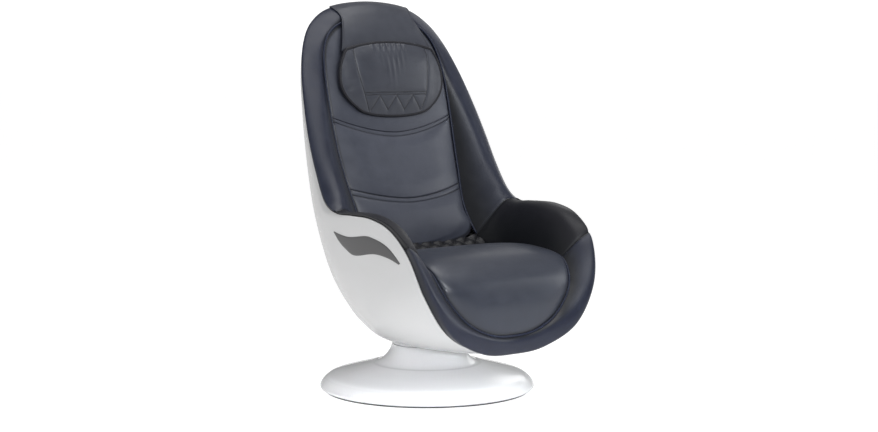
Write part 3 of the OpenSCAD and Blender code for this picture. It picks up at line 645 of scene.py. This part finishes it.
NODE_MATERIALS = {
    "rubber_black": rubber("rubber_black", (0.03, 0.03, 0.03)),
    "steel_plate": metal("steel_plate", (0.55, 0.56, 0.58), 0.38, (0.02, 1.0, 1.0)),
    "bearing_steel": metal("bearing_steel", (0.72, 0.72, 0.74), 0.18, (1.0, 1.0, 0.03), 0.03),
    "frame_paint": powder_coat("frame_paint", (0.045, 0.045, 0.05)),
    "pedestal_white": PEDESTAL_WHITE,
    "shell_white": SHELL_WHITE,
    "inlay_grey": INLAY_GREY,
    "leather_navy": LEATHER_RIM,
    "leather_charcoal": LEATHER_PAD,
    "plywood": plywood("plywood"),
    "aluminium_cast": metal("aluminium_cast", (0.66, 0.67, 0.69), 0.42, (1.0, 1.0, 1.0), 0.1),
    "brass_nut": metal("brass_nut", (0.72, 0.52, 0.22), 0.28, (1.0, 1.0, 0.05)),
    "bushing_ivory": moulded("bushing_ivory", (0.78, 0.75, 0.66), 0.4),
    "roller_rubber": rubber("roller_rubber", (0.22, 0.23, 0.25)),
    "plastic_black": moulded("plastic_black", (0.022, 0.022, 0.024), 0.35),
    "casing_steel": metal("casing_steel", (0.5, 0.5, 0.52), 0.35, (1.0, 0.03, 1.0)),
    "heater_cloth": heater_cloth("heater_cloth"),
}
slots = {row["node"]: row["material_slot"] for row in frame["record"]["subparts"]}
for node_name, node_object in nodes.items():
    node_object.data.materials.clear()
    node_object.data.materials.append(NODE_MATERIALS[slots[node_name]])


# ---- Shell, rear panel, trim and pedestal --------------------------------------------------------
PANEL_T = (0.2, 0.64)
PANEL_A = 42.0
WALL = 5.0
HUB_HOLE = 60.0


def shell_keep(ts, angles, points_grid):
    """Cells of the moulded shell: all but the rear panel's opening and the hole for the hub."""

    def keep(i, j):
        panel = (ts[i] > PANEL_T[0] - 1e-9) & (ts[i + 1] < PANEL_T[1] + 1e-9)
        panel &= (angles[j] > -PANEL_A - 1e-9) & (angles[j + 1] < PANEL_A + 1e-9)
        centre = (points_grid[i, j] + points_grid[i + 1, j + 1]) / 2
        hole = (np.hypot(centre[..., 0], centre[..., 1]) < HUB_HOLE) & (centre[..., 2] < 200)
        return ~(panel | hole)

    return keep


ts = spread(0, 44, PANEL_T[0], 96, PANEL_T[1], 96, 1)
angles = spread(-90, 30, -PANEL_A, 40, PANEL_A, 30, 90)
outer = shell_surface(ts[:, None], angles[None])
verts, faces, _ = slab(
    outer,
    shell_surface(ts[:, None], angles[None], WALL - 0.5),
    shell_keep(ts, angles, outer),
    fold=(True, True),
)
place(add_mesh("shell", verts, faces, SHELL_WHITE), "chair", "shell_white", "shell_body")

# Rear service panel: a gap of 1.5 mm all round, seven louvres and the opening for the mains inlet
def inset(low, high, edge, inner, count):
    """Even steps from low to high, less a gap at each end and with one close step beside it."""
    return np.concatenate([[low + edge], np.linspace(low + inner, high - inner, count), [high - edge]])


ts = inset(*PANEL_T, 0.0016, 0.003, 110)
angles = inset(-PANEL_A, PANEL_A, 0.3, 0.6, 60)
rounding = np.zeros((len(ts), len(angles)))
rounding[[0, -1]] = 0.9
rounding[:, [0, -1]] = 0.9
down = shell_surface(ts[:, None], angles[None], 1.0) - shell_surface(ts[:, None], angles[None])
verts, faces, _ = slab(
    shell_surface(ts[:, None], angles[None]) + down * rounding[..., None],
    shell_surface(ts[:, None], angles[None], WALL),
)
panel = add_mesh("rear_panel", verts, faces, SHELL_WHITE)


def prism(outline, axis_from, axis_to, tilt=0.0, origin=(0, 0, 0)):
    """Solid with a flat outline in x and z, between two depths along y, tilted back about x."""
    outline = np.asarray(outline, float)
    depths = (np.full(len(outline), y) for y in (axis_from, axis_to))
    rings = [np.column_stack([outline[:, 0], depth, outline[:, 1]]) for depth in depths]
    c, s = math.cos(tilt), math.sin(tilt)
    turn = np.array([[1, 0, 0], [0, c, s], [0, -s, c]])
    return loft(np.array(rings) @ turn.T + np.asarray(origin, float))


def rounded_box(half_w, half_h, r, count=8):
    corner = np.linspace(0, np.pi / 2, count)
    out = []
    for k, (sx, sz) in enumerate(((1, 1), (-1, 1), (-1, -1), (1, -1))):
        a = corner + k * np.pi / 2
        out += list(np.column_stack([sx * (half_w - r) + r * np.cos(a), sz * (half_h - r) + r * np.sin(a)]))
    return out


INLET_TILT = math.radians(15)
INLET_AT = (0, 259, 396)
cutters = [prism(rounded_box(44, 17, 3), -40, 8, INLET_TILT, INLET_AT)]
for z in range(700, 797, 16):
    cutters.append(prism(rounded_box(70, 3, 2.9), 280, 360, 0, (0, 0, z + 3)))
verts, faces = [], []
for v, f in cutters:
    faces += [[n + len(verts) for n in face] for face in f]
    verts += list(v)
cutter = add_mesh("cutter", verts, faces, SHELL_WHITE)
cut = panel.modifiers.new("openings", "BOOLEAN")
cut.object, cut.operation, cut.solver = cutter, "DIFFERENCE", "EXACT"
shape = bpy.data.meshes.new_from_object(panel.evaluated_get(bpy.context.evaluated_depsgraph_get()))
panel.modifiers.clear()
panel.data = shape
bpy.data.objects.remove(cutter)
place(panel, "chair", "shell_white", "shell_back_panel")

INLAY_TOP = np.array(
    [[0.595, 76.8], [0.63, 79.1], [0.645, 80.8], [0.67, 84.7], [0.694, 86.1], [0.725, 87.3], [0.763, 87.8]]
)
INLAY_LOW = np.array(
    [[0.595, 76.2], [0.626, 74.4], [0.656, 74.1], [0.685, 75.2], [0.714, 81.8], [0.74, 85.2], [0.763, 87.3]]
)


for side, side_name in ((-1, "right"), (1, "left")):
    u, v = np.linspace(0, 1, 90)[:, None], np.linspace(0, 1, 15)[None]
    low, top = flat_curve(INLAY_LOW, u[:, 0]), flat_curve(INLAY_TOP, u[:, 0])
    p = low[:, None] * (1 - v[..., None]) + top[:, None] * v[..., None]
    proud = -0.5 - 0.9 * np.clip(np.sin(np.pi * v) * 3, 0, 1) * np.ones_like(u)
    t, a = p[..., 0], side * p[..., 1]
    inward = shell_surface(t, a, 1.0) - shell_surface(t, a)
    verts, faces, _ = slab(shell_surface(t, a) + inward * proud[..., None], shell_surface(t, a, -0.1))
    inlay = add_mesh(f"inlay_{side_name}", verts, faces, INLAY_GREY, 60)
    place(inlay, "chair", "inlay_grey", f"side_inlay_{side_name}")

# Pedestal cover: rolled edge, shallow slope and a flare that ends upright at the neck
low_corner, high_corner = (np.array(v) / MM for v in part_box("pedestal_cover"))
FOOT_R, NECK_R, NECK_TOP, COVER_WALL = high_corner[0], 108.0, high_corner[2], 4.0
slope = [(10, 5), (3, 8), (0, 15), (3, 23), (9, 32), (18, 40.5), (34, 49.5), (78, 62), (128, 75)]
slope = np.array([[FOOT_R - r, z] for r, z in slope])
lift = np.radians(np.linspace(0, 90, 31))
flare = np.column_stack(
    [NECK_R + 60 * (1 - np.sin(lift)) ** 1.3, 84 + (NECK_TOP - 84) * np.sin(lift) ** 1.8]
)
coarse = np.vstack([slope, flare[[0, 6, 12, 18, 24, 30]]])
fine = flat_curve(coarse, np.linspace(0, 1, 90))
fine = np.vstack([fine[fine[:, 1] < flare[0, 1] - 1], flare])
tangent = np.gradient(fine, axis=0)
inner = fine + COVER_WALL * unit(np.column_stack([-tangent[:, 1], tangent[:, 0]]))
verts, faces = loft(lathe(np.vstack([fine, inner[::-1]])), closed=True)
place(add_mesh("pedestal", verts, faces, PEDESTAL_WHITE), "pedestal", "pedestal_white", "pedestal_cover")

# Collar between the neck and the belly, trimmed to the belly's own shape
rows, cols = outer.shape[:2]
corners = [i * cols + j for i in range(rows - 1) for j in range(cols - 1)]
cells = [[v, v + cols, v + cols + 1, v + 1] for v in corners]
belly = BVHTree.FromPolygons([Vector(v) for v in outer.reshape(-1, 3)], cells)
collar_r, collar_in, base = NECK_R - 1, NECK_R - 6, NECK_TOP + 1.5
rings = []
for turn in np.linspace(0, 2 * np.pi, 160, endpoint=False):
    x, y = math.cos(turn), math.sin(turn)
    top_z = []
    for r in (collar_r, collar_in):
        hit = belly.ray_cast(Vector((x * r, y * r, 100)), Vector((0, 0, 1)))[0]
        top_z.append(hit[2] + 0.6)
    ring = [(collar_r - 0.8, base), (collar_r, base + 0.8), (collar_r, top_z[0])]
    ring += [(collar_in, top_z[1]), (collar_in, base)]
    rings.append([[x * r, y * r, z] for r, z in ring])
verts, faces = loft(np.array(rings), closed=True)
place(add_mesh("collar", verts, faces, PEDESTAL_WHITE), "chair", "pedestal_white", "swivel_collar")


# ---- Leather roll round the rim --------------------------------------------------------------------
def roll_rings(ss):
    """Rings of the roll with its seams pulled in, and the painted shade at each point."""
    ks = np.linspace(0, 3, 37)
    skin = roll_point(ss[:, None], ks[None])
    out = -grid_normals(skin)
    mid = roll_point(ss, np.full(len(ss), 1.5))
    run = np.concatenate([[0], np.cumsum(np.linalg.norm(np.diff(mid, axis=0), axis=1))])
    from_end = np.minimum(run, run[-1] - run)
    pull = 2.4 * bump(from_end, 5.0) + 1.2 * bump(from_end, 16.0)
    ease = ramp(ks, 0.0, 0.25)
    skin = skin - out * (pull[:, None] * ease[None])[..., None]
    e, i, g = (rim(line, ss) for line in (EDGE, INNER, GROOVE))
    behind = np.stack([g + 14 * unit(e - i), roll_point(ss, 0 * ss) + 9 * unit(i - e)], 1)
    # Painted shade: dark in the groove, darker from the crest down to the shell's edge, at the seams where
    # the roll ends, and full on the hidden back rings.
    shade = np.maximum(0.95 * ramp(ks, 2.0, 2.75), 0.85 * (1 - ramp(ks, 0.05, 1.05)))
    seam = np.maximum(bump(from_end, 2.2)[:, None] * ease[None], shade[None])
    seam = np.concatenate([seam, np.ones((len(ss), 2))], 1)
    return np.concatenate([skin, behind], 1), seam


def roll(name, s0, s1, count, material, *stands_for):
    pinch = (s1 - s0) * np.array([0, 0.0012, 0.003, 0.006, 0.01, 0.016])
    ss = np.concatenate([s0 + pinch, np.linspace(s0, s1, count)[2:-2], s1 - pinch[::-1]])
    ss = np.unique(np.round(ss, 7))
    rings, seam = roll_rings(ss)
    obj = add_mesh(name, *loft(rings), material, sharp=50)
    # Painted shade from roll_rings, stored as the 'seam' attribute.
    paint(obj, "seam", seam)
    return place(obj, "chair", "leather_navy", *stands_for, fill=0.9)


HAIR = 0.0003
roll("crown_roll", -WING_SEAM + HAIR, WING_SEAM - HAIR, 240, LEATHER_RIM, "crown_bolster")
roll("arm_roll_left", WING_SEAM + HAIR, FRONT_SEAM - HAIR, 90, LEATHER_ARM, "arm_bolster_left")
roll("arm_roll_right", -FRONT_SEAM + HAIR, -WING_SEAM - HAIR, 90, LEATHER_ARM, "arm_bolster_right")
roll("front_roll", FRONT_SEAM + HAIR, 2 - FRONT_SEAM - HAIR, 160, LEATHER_RIM, "front_bolster")

for side, side_name in ((-1, "right"), (1, "left")):
    seams = []
    for s, shift in ((WING_SEAM, -1), (FRONT_SEAM, 1)):
        ks = np.linspace(0.3, 2.95, 80)
        at = s + shift * 0.0045
        line = roll_point(np.full(80, at), ks)
        out = -unit(np.cross(roll_point(np.full(80, at + 0.004), ks) - line, np.gradient(line, axis=0)))
        line = line - out * 1.1
        if side < 0:
            line, out = line * MIRROR, out * MIRROR
        seams.append((line, out))
    stitches(f"rim_stitches_{side_name}", seams, "chair")


# Piping sewn into the grooves
def piping(name, low, high, forward):
    ss = np.linspace(low, high, 260)
    g = rim(GROOVE, ss)
    cord(name, g + unit(rim(INNER, ss) - g) + forward, 3.4, "chair", "leather_navy", LEATHER_PIPING)


piping("back_piping", -0.515, 0.515, -2.5 * BACKWARD)
piping("seat_piping", SEAT_START + 0.004, 2 - SEAT_START - 0.004, np.array([0, -1.5, 1.5]))


# ---- Padded panels: cloth simulation first, then sewn detail -----------------------------------------
SEAM_MID, SEAM_DROP = (0.530, 0.709), (0.047, 0.032)


def pad_t(r, x):
    """Station on the back pad of row r at share x of its half width, so that the seams are rows."""
    drop = np.interp(r, [0.30, SEAM_MID[0], SEAM_MID[1], 0.95], [0, SEAM_DROP[0], SEAM_DROP[1], 0])
    return r - drop * np.abs(x) ** 1.75


def pad_grid(r, phi):
    x = np.sin(np.radians(phi))
    a = np.degrees(np.arcsin(np.abs(x) ** 1.3)) * np.sign(x)
    return pad_front(pad_t(r[:, None], x[None]), a[None] + 0 * r[:, None])


def back_of(front, phi):
    return front + BACKWARD * (16 + 9 * np.cos(np.radians(phi)) ** 0.8)[None, :, None]


DOUBLE = 0.0055
PAD_LENGTH, PAD_HALF_W = 1170, 228
near_seam = [m + d for m in SEAM_MID for d in (-DOUBLE, 0, DOUBLE)]
pad_r = np.unique(np.concatenate([spread(0, 24, 0.5, 12, 0.6, 8, 0.7, 22, 1), near_seam]))
pad_phi = spread(-90, 40, 90)
pad_coarse = pad_grid(pad_r, pad_phi)
pad_held = np.zeros(pad_coarse.shape[:2], bool)
pad_held[:, [0, -1]] = pad_held[:, [1, -2]] = pad_held[0] = pad_held[-1] = True
pad_held[np.isin(pad_r, near_seam)] = True

seat_t, seat_a = spread(SEAT_START, 46, 1), spread(-90, 44, 90)
seat_coarse = seat_top(seat_t[:, None], seat_a[None])
seat_held = np.zeros(seat_coarse.shape[:2], bool)
seat_held[:, [0, -1]] = seat_held[:, [1, -2]] = seat_held[0] = True

PILLOW_AT, PILLOW_TILT = np.array([0.0, 179.0, 948.0]), math.radians(9)
PILLOW_W, PILLOW_H = 392.0, 230.0


KNEE = 0.62


def pillow_grid(c, v, depth):
    """Points of the pillow: column c from -1 to 1 has the slanted seams at -KNEE and KNEE."""
    c, v = np.broadcast_arrays(c, v)
    seam = 0.67 + 0.116 * v + 0.056 * v * v
    outside = np.sign(c) * (seam + (np.abs(c) - KNEE) / (1 - KNEE) * (1 - seam))
    u = np.where(np.abs(c) < KNEE, c / KNEE * seam, outside)
    low = np.clip(-v, 0, 1) ** 2
    corner = 0.42 * low * np.sign(u) * np.maximum(np.abs(u) - 0.5, 0) ** 2
    fu = u * np.sqrt(1 - 0.3 * v * v) - corner
    fv = v * np.sqrt(1 - 0.34 * u * u) + 0.07 * low * u**4
    dome = np.sqrt(np.maximum(1 - np.abs(u) ** 3, 0)) * np.sqrt(np.maximum(1 - np.abs(v) ** 3, 0))
    y = depth(v, dome)
    return np.stack([fu * PILLOW_W / 2, y, fv * PILLOW_H / 2], -1)


def pillow_place(p):
    c, s = math.cos(PILLOW_TILT), math.sin(PILLOW_TILT)
    return np.stack([p[..., 0], p[..., 1] * c + p[..., 2] * s, p[..., 2] * c - p[..., 1] * s], -1) + PILLOW_AT


def pillow_face(v, dome):
    return -(2 + 15 * dome)


def pillow_back(v, dome):
    return 2 + (9 + 8 * v) * dome


pillow_c, pillow_v = spread(-1, 10, -KNEE, 30, KNEE, 10, 1), spread(1, 32, -1)
pillow_coarse = pillow_place(pillow_grid(pillow_c[None], pillow_v[:, None], pillow_face))
pillow_rear = pillow_place(pillow_grid(pillow_c[None], pillow_v[:, None], pillow_back))
pillow_held = np.zeros(pillow_coarse.shape[:2], bool)
pillow_held[:, [0, -1]] = pillow_held[[0, -1]] = True

jobs = [
    (pad_coarse, back_of(pad_coarse, pad_phi), (True, True), pad_held, 4.0, 6.0),
    (seat_coarse, seat_under(seat_t[:, None], seat_a[None]), (False, True), seat_held, 4.0, 9.0),
    (pillow_coarse, pillow_rear, (False, False), pillow_held, 4.0, 7.0),
]
moved = swell(jobs)
pad_swell, seat_swell, pillow_swell = (calm(grid, rounds) for grid, rounds in zip(moved, (4, 30, 4)))

# Back pad
seam_rows = [(m, side, m + side * DOUBLE) for m in SEAM_MID for side in (-1, 1)]
close = np.array([-2.4, -1.4, -0.7, 0, 0.7, 1.4, 2.4]) / PAD_LENGTH
wide = np.array([-16, -12, -9, 0, 9, 12, 16]) / PAD_LENGTH
extra_rows = [row + close for _, _, row in seam_rows] + [m + wide for m in SEAM_MID]
fine_r = np.unique(np.concatenate([spread(0, 130, 1)] + extra_rows))
fine_phi = spread(-90, 110, 90)
front = pad_grid(fine_r, fine_phi)
front += shift_at(pad_swell, fine_r, pad_r, fine_phi, pad_phi)
out = -grid_normals(front)
out *= np.sign(-(out @ BACKWARD).mean())
edge_mm = PAD_HALF_W * (1 - np.abs(np.sin(np.radians(fine_phi))))[None]
to_seams = [np.abs(fine_r - m - side * DOUBLE) * PAD_LENGTH for m, side, _ in seam_rows]
seam_mm = np.min(to_seams, 0)[:, None]
groove = 2.0 * bump(seam_mm, 1.5) + 1.1 * bump(seam_mm, 7.0)
puff = 2.2 * ramp(seam_mm, 2, 40) * ramp(edge_mm, 0, 60)
front += out * (puff - groove * ramp(edge_mm, 0, 5))[..., None]
verts, faces, used = slab(front, back_of(pad_grid(fine_r, fine_phi), fine_phi), fold=(True, True))
pad = add_mesh("back_pad_cover", verts, faces, LEATHER_PAD, sharp=60)
# Painted shade along the double seams and beside the grooves at the pad's edges; full on the hidden back.
paint_front(pad, used, np.maximum(bump(seam_mm, 1.3), 0.9 * (1 - ramp(edge_mm, 1.5, 9))), 1.0)
place(pad, "chair", "leather_charcoal", "back_pad", fill=0.7)

seams = []
for m, side, _ in seam_rows:
    row = np.argmin(np.abs(fine_r - m - side * DOUBLE - side * 2.2 / PAD_LENGTH))
    seams.append((front[row, 4:-4] + out[row, 4:-4] * 0.2, out[row, 4:-4]))

# Double seam across the pad's lower corners
GUSSET = ((0.955, 1.0), (0.995, 0.80))
for side, side_name in ((-1, "right"), (1, "left")):
    f = np.linspace(0.04, 0.96, 30)
    rows = np.interp(GUSSET[0][0] + f * (GUSSET[1][0] - GUSSET[0][0]), fine_r, np.arange(len(fine_r)))
    share = side * (GUSSET[0][1] + f * (GUSSET[1][1] - GUSSET[0][1])) * 0.985
    cols = np.interp(np.degrees(np.arcsin(share)), fine_phi, np.arange(len(fine_phi)))
    line = np.einsum("iik->ik", finer(front, rows, cols))
    up = unit(np.einsum("iik->ik", finer(out, rows, cols)))
    cord(f"pad_gusset_seam_{side_name}", line - 0.2 * up, 1.5, "chair", "leather_charcoal", LEATHER_ARM)
    for shift in (-3.2, 3.2):
        seams.append((line + shift * unit(np.cross(up, np.gradient(line, axis=0))) + 0.3 * up, up))
stitches("pad_stitches", seams, "chair")

# Quilted strip behind the seat; its ends rise with the groove and widen towards the front
quilt_u, quilt_w = np.linspace(-1, 1, 220), np.linspace(0, 1, 34)
profile_points = np.array([[-27, 385], [-26, 406], [-20, 413], [0, 424], [19, 436], [33, 444]], float)
profile = flat_curve(profile_points, quilt_w)
run = np.concatenate([[0], np.cumsum(np.linalg.norm(np.diff(profile, axis=0), axis=1))])
tangent = unit(np.gradient(profile, axis=0))
u, w = quilt_u[None], run[:, None]
side_y = profile[:, :1] + 0 * u
side_z = profile[:, 1:] + 14 * np.abs(u) ** 3 * np.linspace(0.33, 1, 34)[:, None]
x = u * (231 - 0.32 * side_y)
TUFT = 46.0
waves = np.sin(np.pi * (x + w) / TUFT), np.sin(np.pi * (x - w) / TUFT)
diamond = np.abs(waves[0] * waves[1])
rise = 8.0 * diamond**0.45 - 2.0
top = np.stack([x, side_y - tangent[:, 1:] * rise, side_z + tangent[:, :1] * rise], -1)
under_y = np.linspace(-20, 27, 34)[:, None] + 0 * u
under = np.stack([u * (231 - 0.32 * under_y), under_y, 360 + 0 * under_y], -1)
verts, faces, used = slab(top, under)
quilt = add_mesh("quilted_strip", verts, faces, LEATHER_QUILT_SHADED, sharp=50)
# Painted shade in the creases between the tufts.
paint_front(quilt, used, bump(np.minimum(np.abs(waves[0]), np.abs(waves[1])), 0.1))
place(quilt, "chair", "leather_charcoal", "seat_rear_quilt", fill=0.8)

# Seat cushion
fine_t, fine_a = spread(SEAT_START, 130, 1), spread(-90, 120, 90)
top = seat_top(fine_t[:, None], fine_a[None])
top += shift_at(seat_swell, fine_t, seat_t, fine_a, seat_a)
verts, faces, used = slab(top, seat_under(fine_t[:, None], fine_a[None]), fold=(False, True))
seat = add_mesh("seat_cover", verts, faces, LEATHER_SEAT, sharp=60)
borders = (seat_top(fine_t[:, None], np.full((1, 1), angle)) for angle in (-90, 90))
from_edge = np.minimum(*(np.linalg.norm(top - border, axis=-1) for border in borders))
# Painted shade along the cushion's edges beside the groove; full on the hidden underside.
paint_front(seat, used, 0.9 * (1 - ramp(from_edge, 2, 16)), 1.0)
place(seat, "chair", "leather_charcoal", "seat_cushion", fill=0.85)

# Head pillow
fine_c, fine_v = spread(-1, 34, -KNEE, 116, KNEE, 34, 1), spread(1, 110, -1)
face = pillow_grid(fine_c[None], fine_v[:, None], pillow_face)
rear = pillow_place(pillow_grid(fine_c[None], fine_v[:, None], pillow_back))
flat_x, flat_z = face[..., 0], face[..., 2]
face = pillow_place(face)
face += shift_at(pillow_swell, -fine_v, -pillow_v, fine_c, pillow_c)
out = grid_normals(face)
out *= -np.sign(out[..., 1].mean())


def to_segments(x, z, ends):
    """Distance in millimetres from points to the nearest of the segments ends."""
    best = np.full(np.shape(x), 1e9)
    for (x0, z0), (x1, z1) in ends:
        length = (x1 - x0) ** 2 + (z1 - z0) ** 2
        f = np.clip(((x - x0) * (x1 - x0) + (z - z0) * (z1 - z0)) / length, 0, 1)
        best = np.minimum(best, np.hypot(x - x0 - f * (x1 - x0), z - z0 - f * (z1 - z0)))
    return best


from_knee = np.abs(fine_c)[None] - KNEE
slant_mm = np.where(from_knee > 0, from_knee / (1 - KNEE) * 70, -from_knee / KNEE * 118) + 0 * fine_v[:, None]
ZIG_TOP, ZIG_LOW = -53.0, -98.0
tips = [(32 * k, ZIG_LOW if k % 2 else ZIG_TOP) for k in range(-3, 4)]
zigzag = list(zip(tips, tips[1:]))
doubles = [((-118, -43.5), (118, -43.5)), ((-116, -50.5), (116, -50.5))]
within = ramp(-from_knee, -0.004, 0.004)
cross_mm = np.where(within > 0.5, to_segments(flat_x, flat_z, zigzag + doubles), 99.0)
seam_mm = np.minimum(slant_mm, cross_mm)
from_top = PILLOW_H / 2 - flat_z
gather = np.zeros_like(flat_x)
for x0, length, strength in zip(
    (-70, -47, -26, -5, 16, 36, 56),
    (30, 46, 74, 84, 60, 50, 34),
    (1.0, 1.3, 1.5, 1.6, 1.5, 1.3, 1.0),
):
    lean = x0 * (1 - from_top / 900)
    fade = 1.3 * bump(np.maximum(from_top - 8, 0), 16) + 0.55 * bump(np.maximum(from_top - 6, 0), length)
    gather += strength * bump(flat_x - lean, 5.5) * fade * ramp(from_top, 1, 6)
groove = 1.5 * bump(seam_mm, 1.6) + 1.3 * bump(seam_mm, 8.0)
rim_mm = np.minimum(115 * (1 - np.abs(fine_v))[:, None], 160 * (1 - np.abs(fine_c))[None])
face += out * ((2.2 * gather - groove) * ramp(rim_mm, 0, 6))[..., None]
verts, faces, used = slab(face, rear)
pillow = add_mesh("neck_pillow", verts, faces, LEATHER_PILLOW, sharp=60)
# Painted shade along the pillow's seams.
paint_front(pillow, used, bump(seam_mm, 1.2))
place(pillow, "pillow", "leather_charcoal", "head_pillow", fill=0.75)

# Piping round the pillow's face, thick and in the darkest leather: partly real piping, partly a dark cord
# that stands in for the shade under the pillow's edges.
outline = np.concatenate([face[0, :-1], face[:-1, -1], face[-1, :0:-1], face[:0:-1, 0]])
outline = resample(np.vstack([outline, outline[:1]]), 4.0)[:-1]
cord("pillow_piping", outline, 4.8, "pillow", "leather_charcoal", LEATHER_ARM, closed=True)

# Leather flap: one sheet from the crown's outer side over the roll and down to the pillow's back
FLAP_W, STRAP_S, FLAP_T = 168.0, 1.2 / STEPS, 2.4


def strap(x, k):
    s = x / FLAP_W * STRAP_S * (0.82 + 0.18 * ramp(k, 0.5, 2.0))
    over = roll_point(s, k + 0.08) - roll_point(s, np.maximum(k - 0.08, 0))
    across = roll_point(s + 0.01, k) - roll_point(s - 0.01, k)
    return roll_point(s, k) + 3.4 * unit(np.cross(over, across))


def flap(x, f):
    top_edge = roll_point(x / FLAP_W * STRAP_S, 2.05 + 0 * x)
    low_edge = np.stack([x * 1.05, 209 - 9 * (x / FLAP_W) ** 4, 1034 + 0 * x], -1)
    sag = 10 * np.sin(np.pi * f)
    drop = np.stack([0 * x, -3.2 - sag * 0.4, 1.5 + 0 * x], -1)
    return top_edge * (1 - f[..., None]) + low_edge * f[..., None] + drop


x = np.linspace(-FLAP_W, FLAP_W, 100)[None] + np.zeros((40, 1))
strap_k, flap_f = (np.linspace(low, high, 40)[:, None] + 0 * x for low, high in ((0.35, 1.8), (0.06, 1)))
sheet = np.concatenate([strap(x, strap_k), flap(x, flap_f)])
for _ in range(4):
    sheet[1:-1] = 0.5 * sheet[1:-1] + 0.25 * (sheet[:-2] + sheet[2:])
flap_length = np.linalg.norm(np.diff(sheet[:, 50], axis=0), axis=1).sum()
out = grid_normals(sheet)
out *= np.sign(out[..., 2].mean())
down_mm = np.linspace(0, flap_length, len(sheet))[:, None]
hem_mm = np.minimum(FLAP_W - np.abs(np.linspace(-FLAP_W, FLAP_W, 100))[None], down_mm)
ripple = 1.2 * np.sin(sheet[..., 0] / 21 + 0.6) * ramp(down_mm, flap_length - 70, flap_length - 10)
sheet += out * (ripple * bump(sheet[..., 0], 110))[..., None]
hem = 0.7 * (1 - ramp(hem_mm, 8, 9.5)) - 0.5 * bump(hem_mm - 7, 1.2)
verts, faces, used = slab(sheet + out * (FLAP_T / 2 + hem)[..., None], sheet - out * FLAP_T / 2)
leather_flap = add_mesh("pillow_flap_sheet", verts, faces, LEATHER_PILLOW, sharp=60)
# Painted shade in the groove beside the hem.
paint_front(leather_flap, used, 0.6 * bump(hem_mm - 7, 1.5))
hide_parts("crown_strap", "pillow_flap")
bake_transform(leather_flap)


# ---- Hardware that keeps its CAD shape, with its edges eased -----------------------------------------
EASED = {
    0.5: ("massage_arm_right", "massage_arm_left"),
    0.6: ("carriage_frame",),
    0.7: ("mains_inlet", "power_switch"),
    0.8: ("power_supply", "seat_board"),
    1.0: ("seat_frame", "back_frame", "control_box"),
}
for width, node_name in ((width, name) for width, names in EASED.items() for name in names):
    ease = nodes[node_name].modifiers.new("eased_edges", "BEVEL")
    ease.width, ease.segments = width * MM, 2
    ease.limit_method, ease.angle_limit = "ANGLE", math.radians(50)

# ---- Camera, light and floor -------------------------------------------------------------------------
scene = bpy.context.scene
camera = bpy.data.objects.new("camera", bpy.data.cameras.new("camera"))
scene.collection.objects.link(camera)
camera.location = (-3.386, -4.334, 1.045)
camera.rotation_euler = (math.radians(84.683), 0, math.radians(-38.381))
camera.data.lens = 74.04
camera.data.sensor_width = 36
scene.camera = camera

# Surroundings brighter overhead than at the sides; the camera sees them as plain white
world = bpy.data.worlds.new("studio")
scene.world = world
world.use_nodes = True
tree = world.node_tree
tree.nodes["Background"].inputs["Color"].default_value = (1, 1, 1, 1)
direction = tree.nodes.new("ShaderNodeTexCoord")
height = tree.nodes.new("ShaderNodeSeparateXYZ")
tree.links.new(direction.outputs["Generated"], height.inputs[0])
sky = tree.nodes.new("ShaderNodeMapRange")
tree.links.new(height.outputs["Z"], sky.inputs["Value"])
for key, value in {"From Min": 0.0, "From Max": 0.9, "To Min": 0.27, "To Max": 0.38}.items():
    sky.inputs[key].default_value = value
path = tree.nodes.new("ShaderNodeLightPath")
seen = tree.nodes.new("ShaderNodeMix")
tree.links.new(path.outputs["Is Camera Ray"], seen.inputs[0])
tree.links.new(sky.outputs[0], seen.inputs[2])
seen.inputs[3].default_value = 1.2
tree.links.new(seen.outputs[0], tree.nodes["Background"].inputs["Strength"])


def softbox(name, place_at, aim_at, size, power, color=(1, 1, 1), beam=180):
    lamp = bpy.data.objects.new(name, bpy.data.lights.new(name, "AREA"))
    lamp.data.shape = "RECTANGLE"
    lamp.data.size, lamp.data.size_y = size
    lamp.data.energy = power
    lamp.data.color = color
    lamp.data.spread = math.radians(beam)
    lamp.location = place_at
    lamp.rotation_euler = (Vector(aim_at) - Vector(place_at)).to_track_quat("-Z", "Y").to_euler()
    scene.collection.objects.link(lamp)


softbox("key", (-1.3, -3.9, 2.7), (0, 0, 0.75), (1.5, 1.8), 64, (0.94, 0.97, 1))
softbox("top", (0.2, -0.7, 3.4), (0, 0, 0.4), (2.4, 2.0), 36)
softbox("low", (-2.2, -3.2, 0.9), (0, 0, -0.12), (2.0, 0.15), 2.3, (0.94, 0.97, 1), 14)
softbox("left", (-3.2, 0.4, 1.5), (0, 0, 0.8), (0.6, 1.8), 8)
softbox("rim", (2.6, 1.4, 1.6), (0.1, 0, 0.7), (0.9, 1.6), 5)
softbox("side", (3.2, -1.9, 1.6), (0.2, 0, 0.8), (1.4, 2.0), 20, (0.94, 0.97, 1))

floor_material = Shader("floor", (0.32, 0.32, 0.322), 0.6)
floor_material.tint(floor_material.vary(floor_material.noise(2.0), 0.3, 0.7, 0.004))
floor_material.set("Emission Color", (1, 1, 1, 1))
rays = floor_material.add("ShaderNodeLightPath")
glow = floor_material.span(rays.outputs["Is Camera Ray"], 0, 1, 0.58, 0.86)
floor_material.link(glow, floor_material.bsdf.inputs["Emission Strength"])
ring = np.linspace(0, 2 * np.pi, 97)[:-1]
discs = np.array([[[math.cos(a) * r, math.sin(a) * r, 0.0] for a in ring] for r in (1, 900, 4000, 40000)])
count = len(ring)
wrap = [(k * count, j, (j + 1) % count) for k in range(3) for j in range(count)]
faces = [list(range(count))]
faces += [[start + j, start + count + j, start + count + after, start + after] for start, j, after in wrap]
floor = add_mesh("floor", discs.reshape(-1, 3), faces, floor_material.material)

scene.view_settings.view_transform = "Standard"
scene.view_settings.look = "None"
